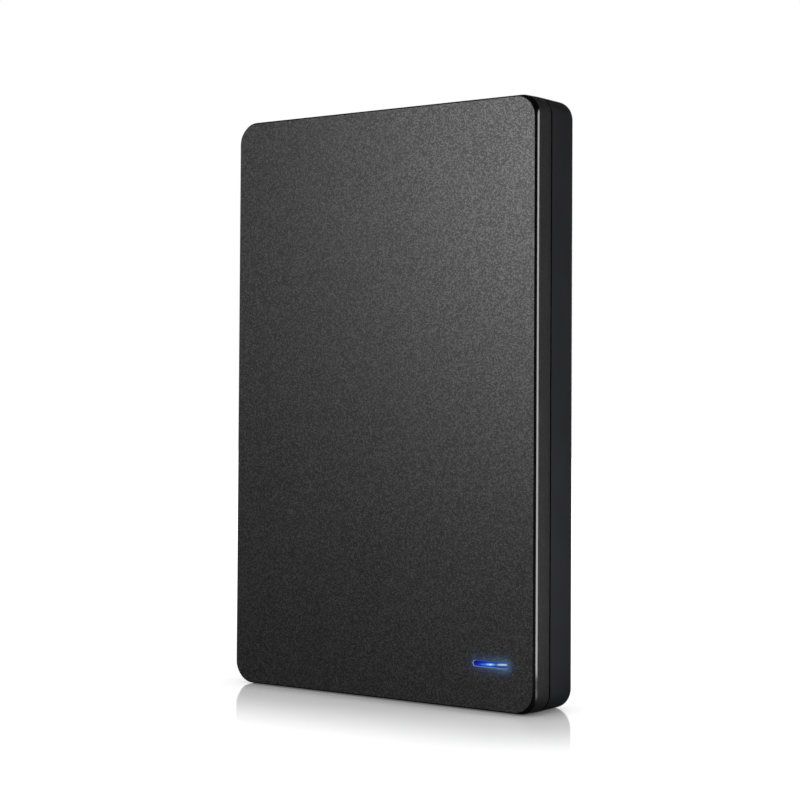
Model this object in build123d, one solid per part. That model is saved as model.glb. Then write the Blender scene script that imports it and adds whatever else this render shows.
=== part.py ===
"""Portable external hard drive: a two-piece plastic case round a 2.5-inch disk drive.

Everything is drawn lying on its back and stood up on export. In the lying frame x runs across the
case, y runs from the port edge to the far edge and z runs from the rear face to the front face.
The sizes are built from the inside out, so the case follows the drive that it holds.
Millimetres and degrees.
"""

import os
from math import acos, asin, atan2, cos, degrees, hypot, radians, sin

from build123d import *

# Case walls
SIDE_WALL = 1.8
FACE_WALL = 1.5
BACK_WALL = 1.5
CASE_CORNER = 4.0            # corner radius of the side walls, seen from the front
FACE_CORNER = 4.2            # corner radius of the flat front face
RIM_INSET = 0.4              # from the side wall in to the edge of the flat face
RIM_DEPTH = 0.55             # depth of the polished bevel round the face
ROLL_INSET = 0.12            # what the bevel leaves for the roll-over to the side wall
ROLL_DEPTH = 0.55            # depth of that roll-over
BACK_ROUND = 1.0

# Parting line between the two covers
FRONT_SIDE = 5.15            # side height of the front cover, from the face to the groove
SEAM_GAP = 0.4
LIP_WALL = 0.8
LIP_REACH = 1.2              # lip length inside the rear cover
LIP_PLAY = 0.1
SNAP_LENGTH = 6.0
SNAP_PROUD = 0.35
SNAP_HEIGHT = 0.6
SNAP_PLAY = 0.1
SNAP_PITCH = 36.0            # along the long sides
SNAP_END_PITCH = 44.0        # along the short ends

# Packing between the drive and the case
PAD_SHEET = 0.75
PAD_WIDTH = 4.0
PAD_LENGTH = 70.0
PAD_EDGE = 1.0               # from the side of the drive in to a pad
BUMPER_SHEET = 1.025
BUMPER_LENGTH = 12.0
BUMPER_HEIGHT = 5.0
PEG_RADIUS = 1.15
PEG_LENGTH = 2.0
END_FOAM = 1.25
END_FOAM_WIDTH = 50.0
END_FOAM_HEIGHT = 6.0

# Light pipe
LIGHT_FROM_SIDE = 10.3       # from the right side of the case
LIGHT_Y = 9.27
LIGHT_LENGTH = 8.3
LIGHT_WIDTH = 1.3
LIGHT_SUNK = 0.15            # lens face below the front face
LIGHT_PLAY = 0.05
FLANGE_MARGIN = 1.0
FLANGE_SHEET = 0.8
STEM_LENGTH = 3.0
STEM_WIDTH = 1.6
STEM_GAP = 0.3               # between the stem and the indicator light

# Bridge board
BOARD_PLAY = 0.3             # from the port wall to the board
BOARD_LEFT = 26.5            # from the centre line to the left edge
BOARD_PAST_LIGHT = 4.0       # from the light to the right edge
BOARD_DEPTH = 14.0
BOARD_SHEET = 0.8
BOARD_LIFT = 1.0             # from the back wall to the board
BOARD_DRIVE_GAP = 0.5
POST_RADIUS = 1.9
POST_PIN = 0.8
POST_PIN_TALL = 1.2          # pin height above the board
POST_PLAY = 0.1
POST_EDGE = 3.0              # from the board edges to a post
POST_FROM_PORT = 3.2         # from the port edge of the board to a post

# Board components
CONTROLLER_SIZE = 6.5
CONTROLLER_TALL = 0.85
CONTROLLER_X = -15.5
CONTROLLER_Y = 5.0           # from the port edge of the board, as for the rest
FLASH_LENGTH = 4.9
FLASH_WIDTH = 3.9
FLASH_TALL = 1.5
FLASH_X = 11.6
FLASH_Y = 5.2
CRYSTAL_LENGTH = 3.2
CRYSTAL_WIDTH = 2.5
CRYSTAL_TALL = 0.7
CRYSTAL_X = -9.3
CRYSTAL_Y = 6.6
INDUCTOR_SIZE = 4.0
INDUCTOR_TALL = 1.8
INDUCTOR_X = 18.4
INDUCTOR_Y = 5.6
CAPACITOR_LENGTH = 1.6
CAPACITOR_WIDTH = 0.8
CAPACITOR_TALL = 0.8
CAPACITOR_PAST_INDUCTOR = 4.2
CAPACITOR_Y = 3.2
CAPACITOR_PITCH = 1.8
CAPACITOR_COUNT = 4
LED_LENGTH = 1.6
LED_WIDTH = 1.2
LED_TALL = 0.7

# USB receptacle, five-contact and five-contact halves side by side
USB_X = 0.0
USB_WIDTH = 12.4
USB_HEIGHT = 2.7
USB_CORNER = 0.5
USB_DEPTH = 7.0
USB_SHEET = 0.3
USB_SUNK = 0.6               # mouth below the outside of the case
USB_PLAY = 0.15
USB_NOTCH_X = 1.6            # from the centre to the key notch
USB_NOTCH = 0.7
USB_BLOCK = 2.2              # depth of the insulator behind the tongues
USB_TONGUE_SHEET = 0.7
USB_TONGUE_SUNK = 0.9
USB_TONGUE_WIDE = 4.4
USB_TONGUE_NARROW = 3.2
USB_TONGUE_GAP = 1.5
USB_CONTACT_PITCH = 0.65
USB_CONTACT_WIDTH = 0.3
USB_CONTACT_SHEET = 0.12
PORT_REBATE = 0.5            # depth of the shallow step round the port
PORT_MARGIN = 0.6

# SATA connector pair
SATA_X = -4.8
POWER_WIDTH = 20.6
SIGNAL_WIDTH = 8.4
SATA_GAP = 2.4               # between the two tongues
TONGUE_SHEET = 1.2
TONGUE_KEY = 1.1             # drop of the key at the end of a tongue
TONGUE_SUNK = 0.6
SATA_PLAY = 0.15
CONTACT_ROOM = 0.35          # height kept free over a tongue for the contacts
CONTACT_SHEET = 0.1
CONTACT_WIDTH = 0.7
CONTACT_PITCH = 1.27
POWER_CONTACTS = 15
SIGNAL_CONTACTS = 7
NOSE_MARGIN = 2.6            # from the tongues to the ends of the receptacle nose
NOSE_HEIGHT = 3.5
NOSE_REACH = 4.4             # how far the nose enters the drive
PLUG_WALL = 0.55
PLUG_DEPTH = 5.6
PLUG_PLAY = 0.15
RECEPTACLE_DEPTH = 4.0       # body behind the nose
RECEPTACLE_CROWN = 0.9       # body height above the nose

# Drive board
PCB_LIFT = 0.45
PCB_SHEET = 0.8
PCB_PLAY = 0.4
PCB_EDGE = 3.9               # rail left beside the board
PCB_FRONT = 0.8              # from the connector end to the board recess
PCB_MOTOR_GAP = 3.0
PCB_SCREW_INSET = 5.5        # from the sides of the board
PCB_SCREW_FIRST = 20.0       # from the connector end to the first pair of screws
PCB_SCREW_PITCH = 18.0
CHIP_TALL = 0.75
INSULATOR_SHEET = 0.2
INSULATOR_LENGTH = 16.0
INSULATOR_WIDTH = 22.0
CHIP_LARGE = 9.0
CHIP_LONG = 8.0
CHIP_SHORT = 6.0
CHIP_SMALL = 6.0
CHIP_ROW = 30.0              # from the connector end to the row of chips
CHIP_PITCH = 13.0

# Drive base and cover
SHROUD_WALL = 1.6
PLATTER_PLAY = 0.825
BAY_WALL = 2.2
BAY_CORNER = 3.0
BAY_PAST_PARK = 7.0
CONNECTOR_WALL = 7.2
FLOOR_SHEET = 0.8
DRIVE_CORNER = 2.0
COVER_SHEET = 0.6
COVER_GAP = 0.64
GASKET_INSET = 0.4
GASKET_WIDTH = 0.8
GASKET_SHEET = 0.2
MOUNT_FIRST = 14.0           # from the connector end to the first mounting holes
MOUNT_LAST = 9.75            # from the far end to the last mounting holes
MOUNT_SPREAD = 4.065         # from the sides to the bottom mounting holes
MOUNT_LEVEL = 3.0            # from the bottom to the side mounting holes
MOUNT_HOLE = 1.25
MOUNT_DEEP = 2.4
MOUNT_PAD = 3.6
MOTOR_LIFT = 0.6
MOTOR_FLOOR = 0.8
LIGHTENING_EDGE = 3.5

# Screws and other small rounds that repeat
SMALL_SIDES = 12             # sides of a small round
SCREW_RADIUS = 0.75
SCREW_HEAD = 1.5
SCREW_HEAD_TALL = 0.4
SCREW_LENGTH = 3.0
SCREW_PLAY = 0.06
SCREW_CORNER = 3.3           # from the edges of the drive to a corner screw
SCREW_MIDDLE = 12.0          # middle screw above the pivot
BOARD_SCREW_LENGTH = 1.5

# Disk stack
PLATTER_RADIUS = 32.5
PLATTER_SHEET = 0.635
PLATTER_FIT = 0.03
HUB_RADIUS = 10.0
HUB_FLANGE = 14.2
HUB_FLANGE_SHEET = 0.6
HUB_SKIRT = 1.2
HUB_TOP = 0.25               # hub above the upper platter
SHAFT_RADIUS = 1.5
SHAFT_PLAY = 0.03
SLEEVE_RADIUS = 4.2
SLEEVE_HEAD_GAP = 0.3
MOTOR_GAP = 0.3
MAGNET_RING = 0.9
MAGNET_AIR = 0.3
STATOR_RING = 1.6
STATOR_TOOTH = 1.3
STATOR_TEETH = 9
STATOR_SHOE = 0.7
STATOR_SHOE_SPREAD = 14.4    # half angle of a tooth's shoe
STATOR_SHEET = 0.8
COIL_WRAP = 0.25
SPACER_RADIUS = 12.2
CLAMP_RADIUS = 12.2
CLAMP_FOOT = 1.6
CLAMP_SHEET = 0.5

# Head actuator
PIVOT_FROM_SIDE = 25.925     # from the right side of the drive
PIVOT_PAST_PLATTER = 8.925   # from the platter edge, along the drive
PARK_BEYOND = 3.0            # heads rest this far outside the platters
PARK_CLOCK = -35.0           # direction from the spindle to the parked heads
INNER_TRACK_SHARE = 0.4923   # inner track as a share of the platter radius
ARM_FLOOR_GAP = 0.27
OUTER_ARM = 0.6
MIDDLE_ARM = 0.8
ARM_ROOT = 7.0
ARM_TIP = 3.6
ARM_HOLE = 1.2
BEAM_FREE = 9.0              # load beam past the end of the arm
BEAM_ROOT = 3.0
BEAM_TIP = 1.0
BEAM_SHEET = 0.12
BEAM_LAP = 4.0               # load beam lapped onto the arm
BEAM_TAB = 1.4               # lift tab past the head
SLIDER_LENGTH = 1.2
SLIDER_WIDTH = 0.8
SLIDER_SHEET = 0.23
FLY_HEIGHT = 0.08
HOUSING_RADIUS = 5.2
CARTRIDGE_RADIUS = 3.0
PIVOT_RADIUS = 1.55
PIVOT_PLAY = 0.05
PIVOT_FOOT = 2.4
PIVOT_FOOT_SHEET = 0.2
COIL_IN = 6.4
COIL_OUT = 13.0
COIL_SPREAD = 18.0           # half angle of the coil
COIL_BAND = 1.8
COIL_SHEET = 1.3
COIL_GAP = 0.25
FORK_SPREAD = 26.0           # half angle of the fork round the coil
FORK_PAST_COIL = 0.6
STOP_RADIUS = 0.9
STOP_GAP = 0.3
STOP_REACH = 10.5

# Voice coil motor
MAGNET_SHEET = 0.9
YOKE_SHEET = 1.0
YOKE_IN = 6.2
YOKE_OUT = 16.5
YOKE_WALL_GAP = 0.3
YOKE_MARGIN = 1.5            # angle past the coil
YOKE_SPACER = 0.9
YOKE_SPACER_EDGE = 1.2

# Load ramp, flex and filters
RAMP_FLOOR_GAP = 0.05        # between a lift tab and its ramp
RAMP_RIM_GAP = 0.4           # between the platter edge and the ramp
RAMP_HEAD_GAP = 0.2          # between a head and the ramp
RAMP_WALL_GAP = 0.1          # between the chamber wall and the ramp
RAMP_PAST_TAB = 0.3
RAMP_PAST_PARK = 2.5         # angle past the parked tab
RAMP_POST = 4.0              # angle of the post that carries the tongues
FLEX_SHEET = 0.2
FLEX_WIDTH = 2.6
FLEX_SPAN = 13.0
FLEX_SAG = 2.2
FLEX_GAP = 0.05
SOCKET_LENGTH = 5.0
SOCKET_WIDTH = 6.0
SOCKET_TALL = 3.6
FILTER_LENGTH = 5.0
FILTER_WIDTH = 2.4
FILTER_TALL = 4.0
FILTER_EDGE = 0.6
BREATHER_RADIUS = 4.0
BREATHER_SHEET = 1.5
BREATHER_X = -20.0
BREATHER_FROM_PIVOT = 9.0

# Levels, from the rear face up
DRIVE_Z = BACK_WALL + PAD_SHEET
PCB_Z = DRIVE_Z + PCB_LIFT
PCB_TOP = PCB_Z + PCB_SHEET
FLOOR_UNDER = PCB_TOP + CHIP_TALL + INSULATOR_SHEET
FLOOR_Z = FLOOR_UNDER + FLOOR_SHEET
HEAD_STACK = BEAM_SHEET + SLIDER_SHEET + FLY_HEIGHT
LOW_ARM_Z = FLOOR_Z + ARM_FLOOR_GAP
LOW_PLATTER_Z = LOW_ARM_Z + OUTER_ARM + HEAD_STACK
MIDDLE_ARM_Z = LOW_PLATTER_Z + PLATTER_SHEET + HEAD_STACK
HIGH_PLATTER_Z = MIDDLE_ARM_Z + MIDDLE_ARM + HEAD_STACK
HIGH_ARM_Z = HIGH_PLATTER_Z + PLATTER_SHEET + HEAD_STACK
ARM_TOP = HIGH_ARM_Z + OUTER_ARM
COVER_Z = ARM_TOP + COVER_GAP
WALL_TOP = COVER_Z - GASKET_SHEET
DRIVE_TOP = COVER_Z + COVER_SHEET
CASE_INNER = DRIVE_TOP + PAD_SHEET
CASE_THICKNESS = CASE_INNER + FACE_WALL
SEAM_FRONT = CASE_THICKNESS - FRONT_SIDE
SEAM_REAR = SEAM_FRONT - SEAM_GAP
LIP_END = SEAM_REAR - LIP_REACH
BOARD_Z = BACK_WALL + BOARD_LIFT
BOARD_TOP = BOARD_Z + BOARD_SHEET
MOTOR_Z = DRIVE_Z + MOTOR_LIFT + MOTOR_FLOOR
PLATTER_TOP = HIGH_PLATTER_Z + PLATTER_SHEET
COIL_MIDDLE = MIDDLE_ARM_Z + MIDDLE_ARM / 2
COIL_Z = COIL_MIDDLE - COIL_SHEET / 2
COIL_TOP = COIL_MIDDLE + COIL_SHEET / 2

# Places along the case, from the port edge
BOARD_Y = SIDE_WALL + BOARD_PLAY
BOARD_END = BOARD_Y + BOARD_DEPTH
DRIVE_Y = BOARD_END + BOARD_DRIVE_GAP
BAY_Y = DRIVE_Y + CONNECTOR_WALL
PIVOT_Y = BAY_Y + YOKE_WALL_GAP + YOKE_OUT
PIVOT_TO_SPINDLE = PLATTER_RADIUS + PIVOT_PAST_PLATTER
SPINDLE_Y = PIVOT_Y + PIVOT_TO_SPINDLE
WELL_RADIUS = PLATTER_RADIUS + PLATTER_PLAY
DRIVE_HALF = WELL_RADIUS + SHROUD_WALL
PIVOT_X = DRIVE_HALF - PIVOT_FROM_SIDE
DRIVE_END = SPINDLE_Y + DRIVE_HALF
DRIVE_MIDDLE = (DRIVE_Y + DRIVE_END) / 2
CASE_LENGTH = DRIVE_END + END_FOAM + SIDE_WALL
CASE_HALF = DRIVE_HALF + BUMPER_SHEET + SIDE_WALL
LIGHT_X = CASE_HALF - LIGHT_FROM_SIDE
BOARD_RIGHT = LIGHT_X + BOARD_PAST_LIGHT
PCB_HALF = DRIVE_HALF - PCB_EDGE
PCB_END = SPINDLE_Y - HUB_FLANGE - PCB_MOTOR_GAP
BAY_HALF = DRIVE_HALF - BAY_WALL
MOTOR_WELL = HUB_FLANGE + MOTOR_GAP

# Swing of the heads, from the ramp to the inner track
PARK_RADIUS = PLATTER_RADIUS + PARK_BEYOND
INNER_TRACK = PLATTER_RADIUS * INNER_TRACK_SHARE
PARK_X = PARK_RADIUS * cos(radians(PARK_CLOCK))
PARK_Y = SPINDLE_Y + PARK_RADIUS * sin(radians(PARK_CLOCK))
HEAD_REACH = hypot(PARK_X - PIVOT_X, PARK_Y - PIVOT_Y)
PARK_ANGLE = degrees(atan2(PARK_Y - PIVOT_Y, PARK_X - PIVOT_X))
PIVOT_SPAN = hypot(PIVOT_X, PIVOT_TO_SPINDLE)


def angle_at_pivot(radius, reach):
    """Angle at the pivot between the spindle and a point that sits at a radius on the platters."""
    return degrees(acos((PIVOT_SPAN**2 + reach**2 - radius**2) / (2 * PIVOT_SPAN * reach)))


SWING = angle_at_pivot(PARK_RADIUS, HEAD_REACH) - angle_at_pivot(INNER_TRACK, HEAD_REACH)
COIL_ANGLE = PARK_ANGLE + 180
BAY_END = PARK_Y + BAY_PAST_PARK


def slab(plan, bottom, top):
    """A flat plan carried from one level to another."""
    return extrude(Pos(0, 0, bottom) * plan, amount=top - bottom)


def block(x, y, z):
    """A box between two values on each axis."""
    middle = Pos(sum(x) / 2, sum(y) / 2, sum(z) / 2)
    return middle * Box(x[1] - x[0], y[1] - y[0], z[1] - z[0])


def pin(x, y, radius, bottom, top):
    """An upright round pin."""
    return slab(Pos(x, y) * Circle(radius), bottom, top)


def stud(x, y, radius, bottom, top):
    """A small upright round that repeats, drawn with few sides."""
    return slab(Pos(x, y) * RegularPolygon(radius, SMALL_SIDES), bottom, top)


def along(profile, start, end):
    """A profile drawn across the case, x by z, carried along the case."""
    return extrude(Pos(0, end, 0) * Rot(90, 0, 0) * profile, amount=end - start)


def turned(points, x, y):
    """A solid of revolution about an upright axis, from a profile of radius by level."""
    profile = make_face(Polyline(*points, close=True))
    return Pos(x, y, 0) * revolve(Rot(90, 0, 0) * profile, Axis.Z)


def ring(x, y, inner, outer, bottom, top):
    """An upright tube."""
    return pin(x, y, outer, bottom, top) - pin(x, y, inner, bottom, top)


def sector(inner, outer, start, end):
    """A piece of a flat ring between two radii and two directions."""
    far = CenterArc((0, 0), outer, start, end - start)
    near = CenterArc((0, 0), inner, start, end - start)
    return make_face([far, Line(far @ 1, near @ 1), near, Line(near @ 0, far @ 0)])


def case_plan(inset, corner):
    """The case outline seen from the front, moved in by an inset."""
    plan = RectangleRounded(2 * (CASE_HALF - inset), CASE_LENGTH - 2 * inset, corner)
    return Pos(0, CASE_LENGTH / 2) * plan


def inner_plan(inset):
    """The case outline moved in, its corners kept concentric with the side walls."""
    return case_plan(inset, CASE_CORNER - inset)


def drive_plan():
    """The outline of the disk drive."""
    plan = RectangleRounded(2 * DRIVE_HALF, DRIVE_END - DRIVE_Y, DRIVE_CORNER)
    return Pos(0, DRIVE_MIDDLE) * plan


def chamber_plan(grow):
    """The sealed chamber of the drive, a round disk well joined to the actuator bay."""
    well = Pos(0, SPINDLE_Y) * Circle(WELL_RADIUS + grow)
    bay = RectangleRounded(2 * (BAY_HALF + grow), BAY_END - BAY_Y + 2 * grow, BAY_CORNER + grow)
    return well + Pos(0, (BAY_Y + BAY_END) / 2) * bay


def mount_places():
    """The four standard mounting places on the bottom of the drive."""
    side = DRIVE_HALF - MOUNT_SPREAD
    return [(x, y) for x in (-side, side) for y in (DRIVE_Y + MOUNT_FIRST, DRIVE_END - MOUNT_LAST)]


def pcb_plan(shrink):
    """The drive board, notched round the bottom mounting places."""
    near = DRIVE_Y + PCB_FRONT
    middle = Pos(0, (near + PCB_END) / 2)
    plan = middle * Rectangle(2 * (PCB_HALF - shrink), PCB_END - near - 2 * shrink)
    for x, y in mount_places():
        plan -= Pos(x, y) * Rectangle(2 * (MOUNT_PAD + shrink), 2 * (MOUNT_PAD + shrink))
    return plan


def pcb_screw_places():
    """Where the drive board is screwed to the base."""
    side = PCB_HALF - PCB_SCREW_INSET
    near = DRIVE_Y + PCB_SCREW_FIRST
    return [(x, y) for x in (-side, side) for y in (near, near + PCB_SCREW_PITCH)]


def cover_screw_places():
    """The corner screws of the drive cover, one at the middle of the left side, one at the pivot."""
    side = DRIVE_HALF - SCREW_CORNER
    ends = (DRIVE_Y + SCREW_CORNER, DRIVE_END - SCREW_CORNER)
    corners = [(x, y) for x in (-side, side) for y in ends]
    return corners + [(-side, PIVOT_Y + SCREW_MIDDLE), (PIVOT_X, PIVOT_Y)]


def screw(x, y, seat, length, up):
    """A flat-head screw, its head above or below its seat."""
    whole = stud(0, 0, SCREW_HEAD, 0, SCREW_HEAD_TALL) + stud(0, 0, SCREW_RADIUS, -length, 0)
    return Pos(x, y, seat) * Rot(0 if up else 180, 0, 0) * whole


def post_places():
    """The two posts that hold the bridge board."""
    y = BOARD_Y + POST_FROM_PORT
    return [(-BOARD_LEFT + POST_EDGE, y), (BOARD_RIGHT - POST_EDGE, y - POST_EDGE / 2)]


def snap_places():
    """Middle and facing direction of each snap, along the four sides."""
    side = CASE_HALF - SIDE_WALL + LIP_WALL
    middle = CASE_LENGTH / 2
    places = []
    for step in (-1, 0, 1):
        places.append((side, middle + step * SNAP_PITCH, 0))
        places.append((-side, middle + step * SNAP_PITCH, 180))
    for step in (-0.5, 0.5):
        places.append((step * SNAP_END_PITCH, SIDE_WALL - LIP_WALL, 270))
        places.append((step * SNAP_END_PITCH, CASE_LENGTH - SIDE_WALL + LIP_WALL, 90))
    return places


def light_plan(grow):
    """The slot of the light pipe, round-ended."""
    slot = SlotOverall(LIGHT_LENGTH + 2 * grow, LIGHT_WIDTH + 2 * grow)
    return Pos(LIGHT_X, LIGHT_Y) * slot


def usb_profile(grow):
    """The keyed outline of the USB receptacle, x by z."""
    middle = Pos(USB_X, BOARD_TOP + USB_HEIGHT / 2)
    outline = RectangleRounded(USB_WIDTH + 2 * grow, USB_HEIGHT + 2 * grow, USB_CORNER + grow)
    notch = Pos(USB_NOTCH_X, USB_HEIGHT / 2 + grow) * Rot(0, 0, 45) * Rectangle(USB_NOTCH, USB_NOTCH)
    return middle * (outline - notch)


def front_cover():
    """Front tray: flat face, polished bevel rolling over to the side wall, and the locating lip."""
    rolled = CASE_THICKNESS - RIM_DEPTH - ROLL_DEPTH
    bevelled = CASE_THICKNESS - RIM_DEPTH
    wall = case_plan(0, CASE_CORNER)
    shoulder = case_plan(ROLL_INSET, (CASE_CORNER + FACE_CORNER) / 2)
    face = case_plan(RIM_INSET, FACE_CORNER)
    body = slab(wall, SEAM_FRONT, rolled)
    body += loft([Pos(0, 0, rolled) * wall, Pos(0, 0, bevelled) * shoulder], ruled=True)
    body += loft([Pos(0, 0, bevelled) * shoulder, Pos(0, 0, CASE_THICKNESS) * face], ruled=True)
    body += slab(inner_plan(SIDE_WALL - LIP_WALL), LIP_END, SEAM_FRONT)
    body -= slab(inner_plan(SIDE_WALL), LIP_END, CASE_INNER)
    body -= slab(light_plan(0), CASE_INNER, CASE_THICKNESS)
    for x, y, facing in snap_places():
        wedge = Polygon((0, 0), (SNAP_PROUD, SNAP_HEIGHT), (0, SNAP_HEIGHT), align=None)
        ridge = extrude(Rot(90, 0, 0) * wedge, amount=SNAP_LENGTH / 2, both=True)
        body += Pos(x, y, LIP_END) * Rot(0, 0, facing) * ridge
    for x, y in post_places():
        body += stud(x, y, POST_RADIUS, BOARD_TOP, CASE_INNER)
        body -= stud(x, y, POST_PIN + POST_PLAY, BOARD_TOP, BOARD_TOP + POST_PIN_TALL + POST_PLAY)
    return body


def rear_cover():
    """Rear tray: rounded back edge, rebate for the lip, snap pockets, port and board posts."""
    body = slab(case_plan(0, CASE_CORNER), 0, SEAM_REAR)
    body = fillet(body.faces().sort_by(Axis.Z)[0].edges(), BACK_ROUND)
    body -= slab(inner_plan(SIDE_WALL), BACK_WALL, SEAM_REAR)
    body -= slab(inner_plan(SIDE_WALL - LIP_WALL - LIP_PLAY), LIP_END - LIP_PLAY, SEAM_REAR)
    for x, y, facing in snap_places():
        reach = SNAP_PROUD + SNAP_PLAY
        pocket = block((0, reach), (-SNAP_LENGTH / 2 - SNAP_PLAY, SNAP_LENGTH / 2 + SNAP_PLAY),
                       (-SNAP_PLAY, SNAP_HEIGHT + SNAP_PLAY))
        body -= Pos(x, y, LIP_END) * Rot(0, 0, facing) * pocket
    body -= along(usb_profile(USB_PLAY), 0, SIDE_WALL)
    body -= along(usb_profile(PORT_MARGIN), 0, PORT_REBATE)
    for x, y in post_places():
        body += stud(x, y, POST_RADIUS, BACK_WALL, BOARD_Z)
        body += stud(x, y, POST_PIN, BOARD_Z, BOARD_TOP + POST_PIN_TALL)
    return body


def light_pipe():
    """Clear lens in the face slot, a flange behind the wall and a stem down to the light."""
    lens = slab(light_plan(-LIGHT_PLAY), CASE_INNER, CASE_THICKNESS - LIGHT_SUNK)
    plan = Rectangle(LIGHT_LENGTH + 2 * FLANGE_MARGIN, LIGHT_WIDTH + 2 * FLANGE_MARGIN)
    flange = slab(Pos(LIGHT_X, LIGHT_Y) * plan, CASE_INNER - FLANGE_SHEET, CASE_INNER)
    foot = Pos(LIGHT_X, LIGHT_Y, BOARD_TOP + LED_TALL + STEM_GAP) * Rectangle(STEM_LENGTH, STEM_WIDTH)
    head = Pos(LIGHT_X, LIGHT_Y, CASE_INNER - FLANGE_SHEET)
    head *= Rectangle(LIGHT_LENGTH, LIGHT_WIDTH + FLANGE_MARGIN)
    return lens + flange + loft([foot, head], ruled=True)


def pads(bottom):
    """Two long foam strips against one side of the drive."""
    reach = DRIVE_HALF - PAD_EDGE - PAD_WIDTH / 2
    plan = Rectangle(PAD_WIDTH, PAD_LENGTH)
    left = Pos(-reach, DRIVE_MIDDLE) * plan
    right = Pos(reach, DRIVE_MIDDLE) * plan
    return slab(left, bottom, bottom + PAD_SHEET) + slab(right, bottom, bottom + PAD_SHEET)


def front_pads():
    """Foam between the drive cover and the front wall."""
    return pads(DRIVE_TOP)


def rear_pads():
    """Foam between the base rails and the back wall."""
    return pads(BACK_WALL)


def side_bumpers():
    """Rubber blocks beside the drive, each with a peg in a side mounting hole."""
    level = DRIVE_Z + MOUNT_LEVEL
    whole = Part()
    for y in (DRIVE_Y + MOUNT_FIRST, DRIVE_END - MOUNT_LAST):
        for facing in (0, 180):
            rubber = block((0, BUMPER_SHEET), (-BUMPER_LENGTH / 2, BUMPER_LENGTH / 2),
                           (-BUMPER_HEIGHT / 2, BUMPER_HEIGHT / 2))
            rubber += Rot(0, -90, 0) * stud(0, 0, PEG_RADIUS, 0, PEG_LENGTH)
            side = DRIVE_HALF if facing == 0 else -DRIVE_HALF
            whole += Pos(side, y, level) * Rot(0, 0, facing) * rubber
    return whole


def end_foam():
    """Foam between the far end of the drive and the case."""
    middle = (DRIVE_Z + DRIVE_TOP) / 2
    return block((-END_FOAM_WIDTH / 2, END_FOAM_WIDTH / 2), (DRIVE_END, DRIVE_END + END_FOAM),
                 (middle - END_FOAM_HEIGHT / 2, middle + END_FOAM_HEIGHT / 2))


def bridge_board():
    """Circuit board with two holes for the posts."""
    board = block((-BOARD_LEFT, BOARD_RIGHT), (BOARD_Y, BOARD_END), (BOARD_Z, BOARD_TOP))
    for x, y in post_places():
        board -= stud(x, y, POST_PIN + POST_PLAY, BOARD_Z, BOARD_TOP)
    return board


def on_board(x, y, length, width, tall):
    """A flat component on the bridge board, its place taken from the port edge of the board."""
    return block((x - length / 2, x + length / 2),
                 (BOARD_Y + y - width / 2, BOARD_Y + y + width / 2), (BOARD_TOP, BOARD_TOP + tall))


def bridge_controller():
    """Flat square controller chip."""
    return on_board(CONTROLLER_X, CONTROLLER_Y, CONTROLLER_SIZE, CONTROLLER_SIZE, CONTROLLER_TALL)


def flash_memory():
    """Small memory chip."""
    return on_board(FLASH_X, FLASH_Y, FLASH_LENGTH, FLASH_WIDTH, FLASH_TALL)


def crystal():
    """Crystal in a metal can."""
    return on_board(CRYSTAL_X, CRYSTAL_Y, CRYSTAL_LENGTH, CRYSTAL_WIDTH, CRYSTAL_TALL)


def power_inductor():
    """Power inductor."""
    return on_board(INDUCTOR_X, INDUCTOR_Y, INDUCTOR_SIZE, INDUCTOR_SIZE, INDUCTOR_TALL)


def capacitors():
    """A row of chip capacitors."""
    whole = Part()
    for step in range(CAPACITOR_COUNT):
        y = CAPACITOR_Y + step * CAPACITOR_PITCH
        whole += on_board(INDUCTOR_X + CAPACITOR_PAST_INDUCTOR, y,
                          CAPACITOR_LENGTH, CAPACITOR_WIDTH, CAPACITOR_TALL)
    return whole


def indicator_led():
    """The light under the stem of the light pipe."""
    return on_board(LIGHT_X, LIGHT_Y - BOARD_Y, LED_LENGTH, LED_WIDTH, LED_TALL)


def usb_shell():
    """Folded steel shell of the USB receptacle, open at the mouth."""
    back = USB_SUNK + USB_DEPTH
    return along(usb_profile(0), USB_SUNK, back) - along(usb_profile(-USB_SHEET), USB_SUNK, back)


def usb_tongues():
    """The two tongues of the receptacle: middle and width of each."""
    span = USB_TONGUE_WIDE + USB_TONGUE_GAP + USB_TONGUE_NARROW
    left = USB_X - span / 2
    wide = left + USB_TONGUE_WIDE / 2
    narrow = left + USB_TONGUE_WIDE + USB_TONGUE_GAP + USB_TONGUE_NARROW / 2
    return [(wide, USB_TONGUE_WIDE), (narrow, USB_TONGUE_NARROW)]


def usb_insulator():
    """Moulded block at the back of the shell with two contact tongues."""
    back = USB_SUNK + USB_DEPTH
    middle = BOARD_TOP + USB_HEIGHT / 2
    body = along(usb_profile(-USB_SHEET), back - USB_BLOCK, back)
    for x, width in usb_tongues():
        body += block((x - width / 2, x + width / 2), (USB_SUNK + USB_TONGUE_SUNK, back - USB_BLOCK),
                      (middle - USB_TONGUE_SHEET / 2, middle + USB_TONGUE_SHEET / 2))
    return body


def usb_contacts():
    """Five contacts under each tongue."""
    top = BOARD_TOP + USB_HEIGHT / 2 - USB_TONGUE_SHEET / 2
    back = USB_SUNK + USB_DEPTH - USB_BLOCK
    whole = Part()
    for x, width in usb_tongues():
        for step in range(-2, 3):
            place = x + step * USB_CONTACT_PITCH
            whole += block((place - USB_CONTACT_WIDTH / 2, place + USB_CONTACT_WIDTH / 2),
                           (USB_SUNK + 2 * USB_TONGUE_SUNK, back), (top - USB_CONTACT_SHEET, top))
    return whole


def sata_tongues():
    """Left and right end of the power tongue and of the signal tongue."""
    left = SATA_X - (POWER_WIDTH + SATA_GAP + SIGNAL_WIDTH) / 2
    signal = left + POWER_WIDTH + SATA_GAP
    return [(left, left + POWER_WIDTH), (signal, signal + SIGNAL_WIDTH)]


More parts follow.
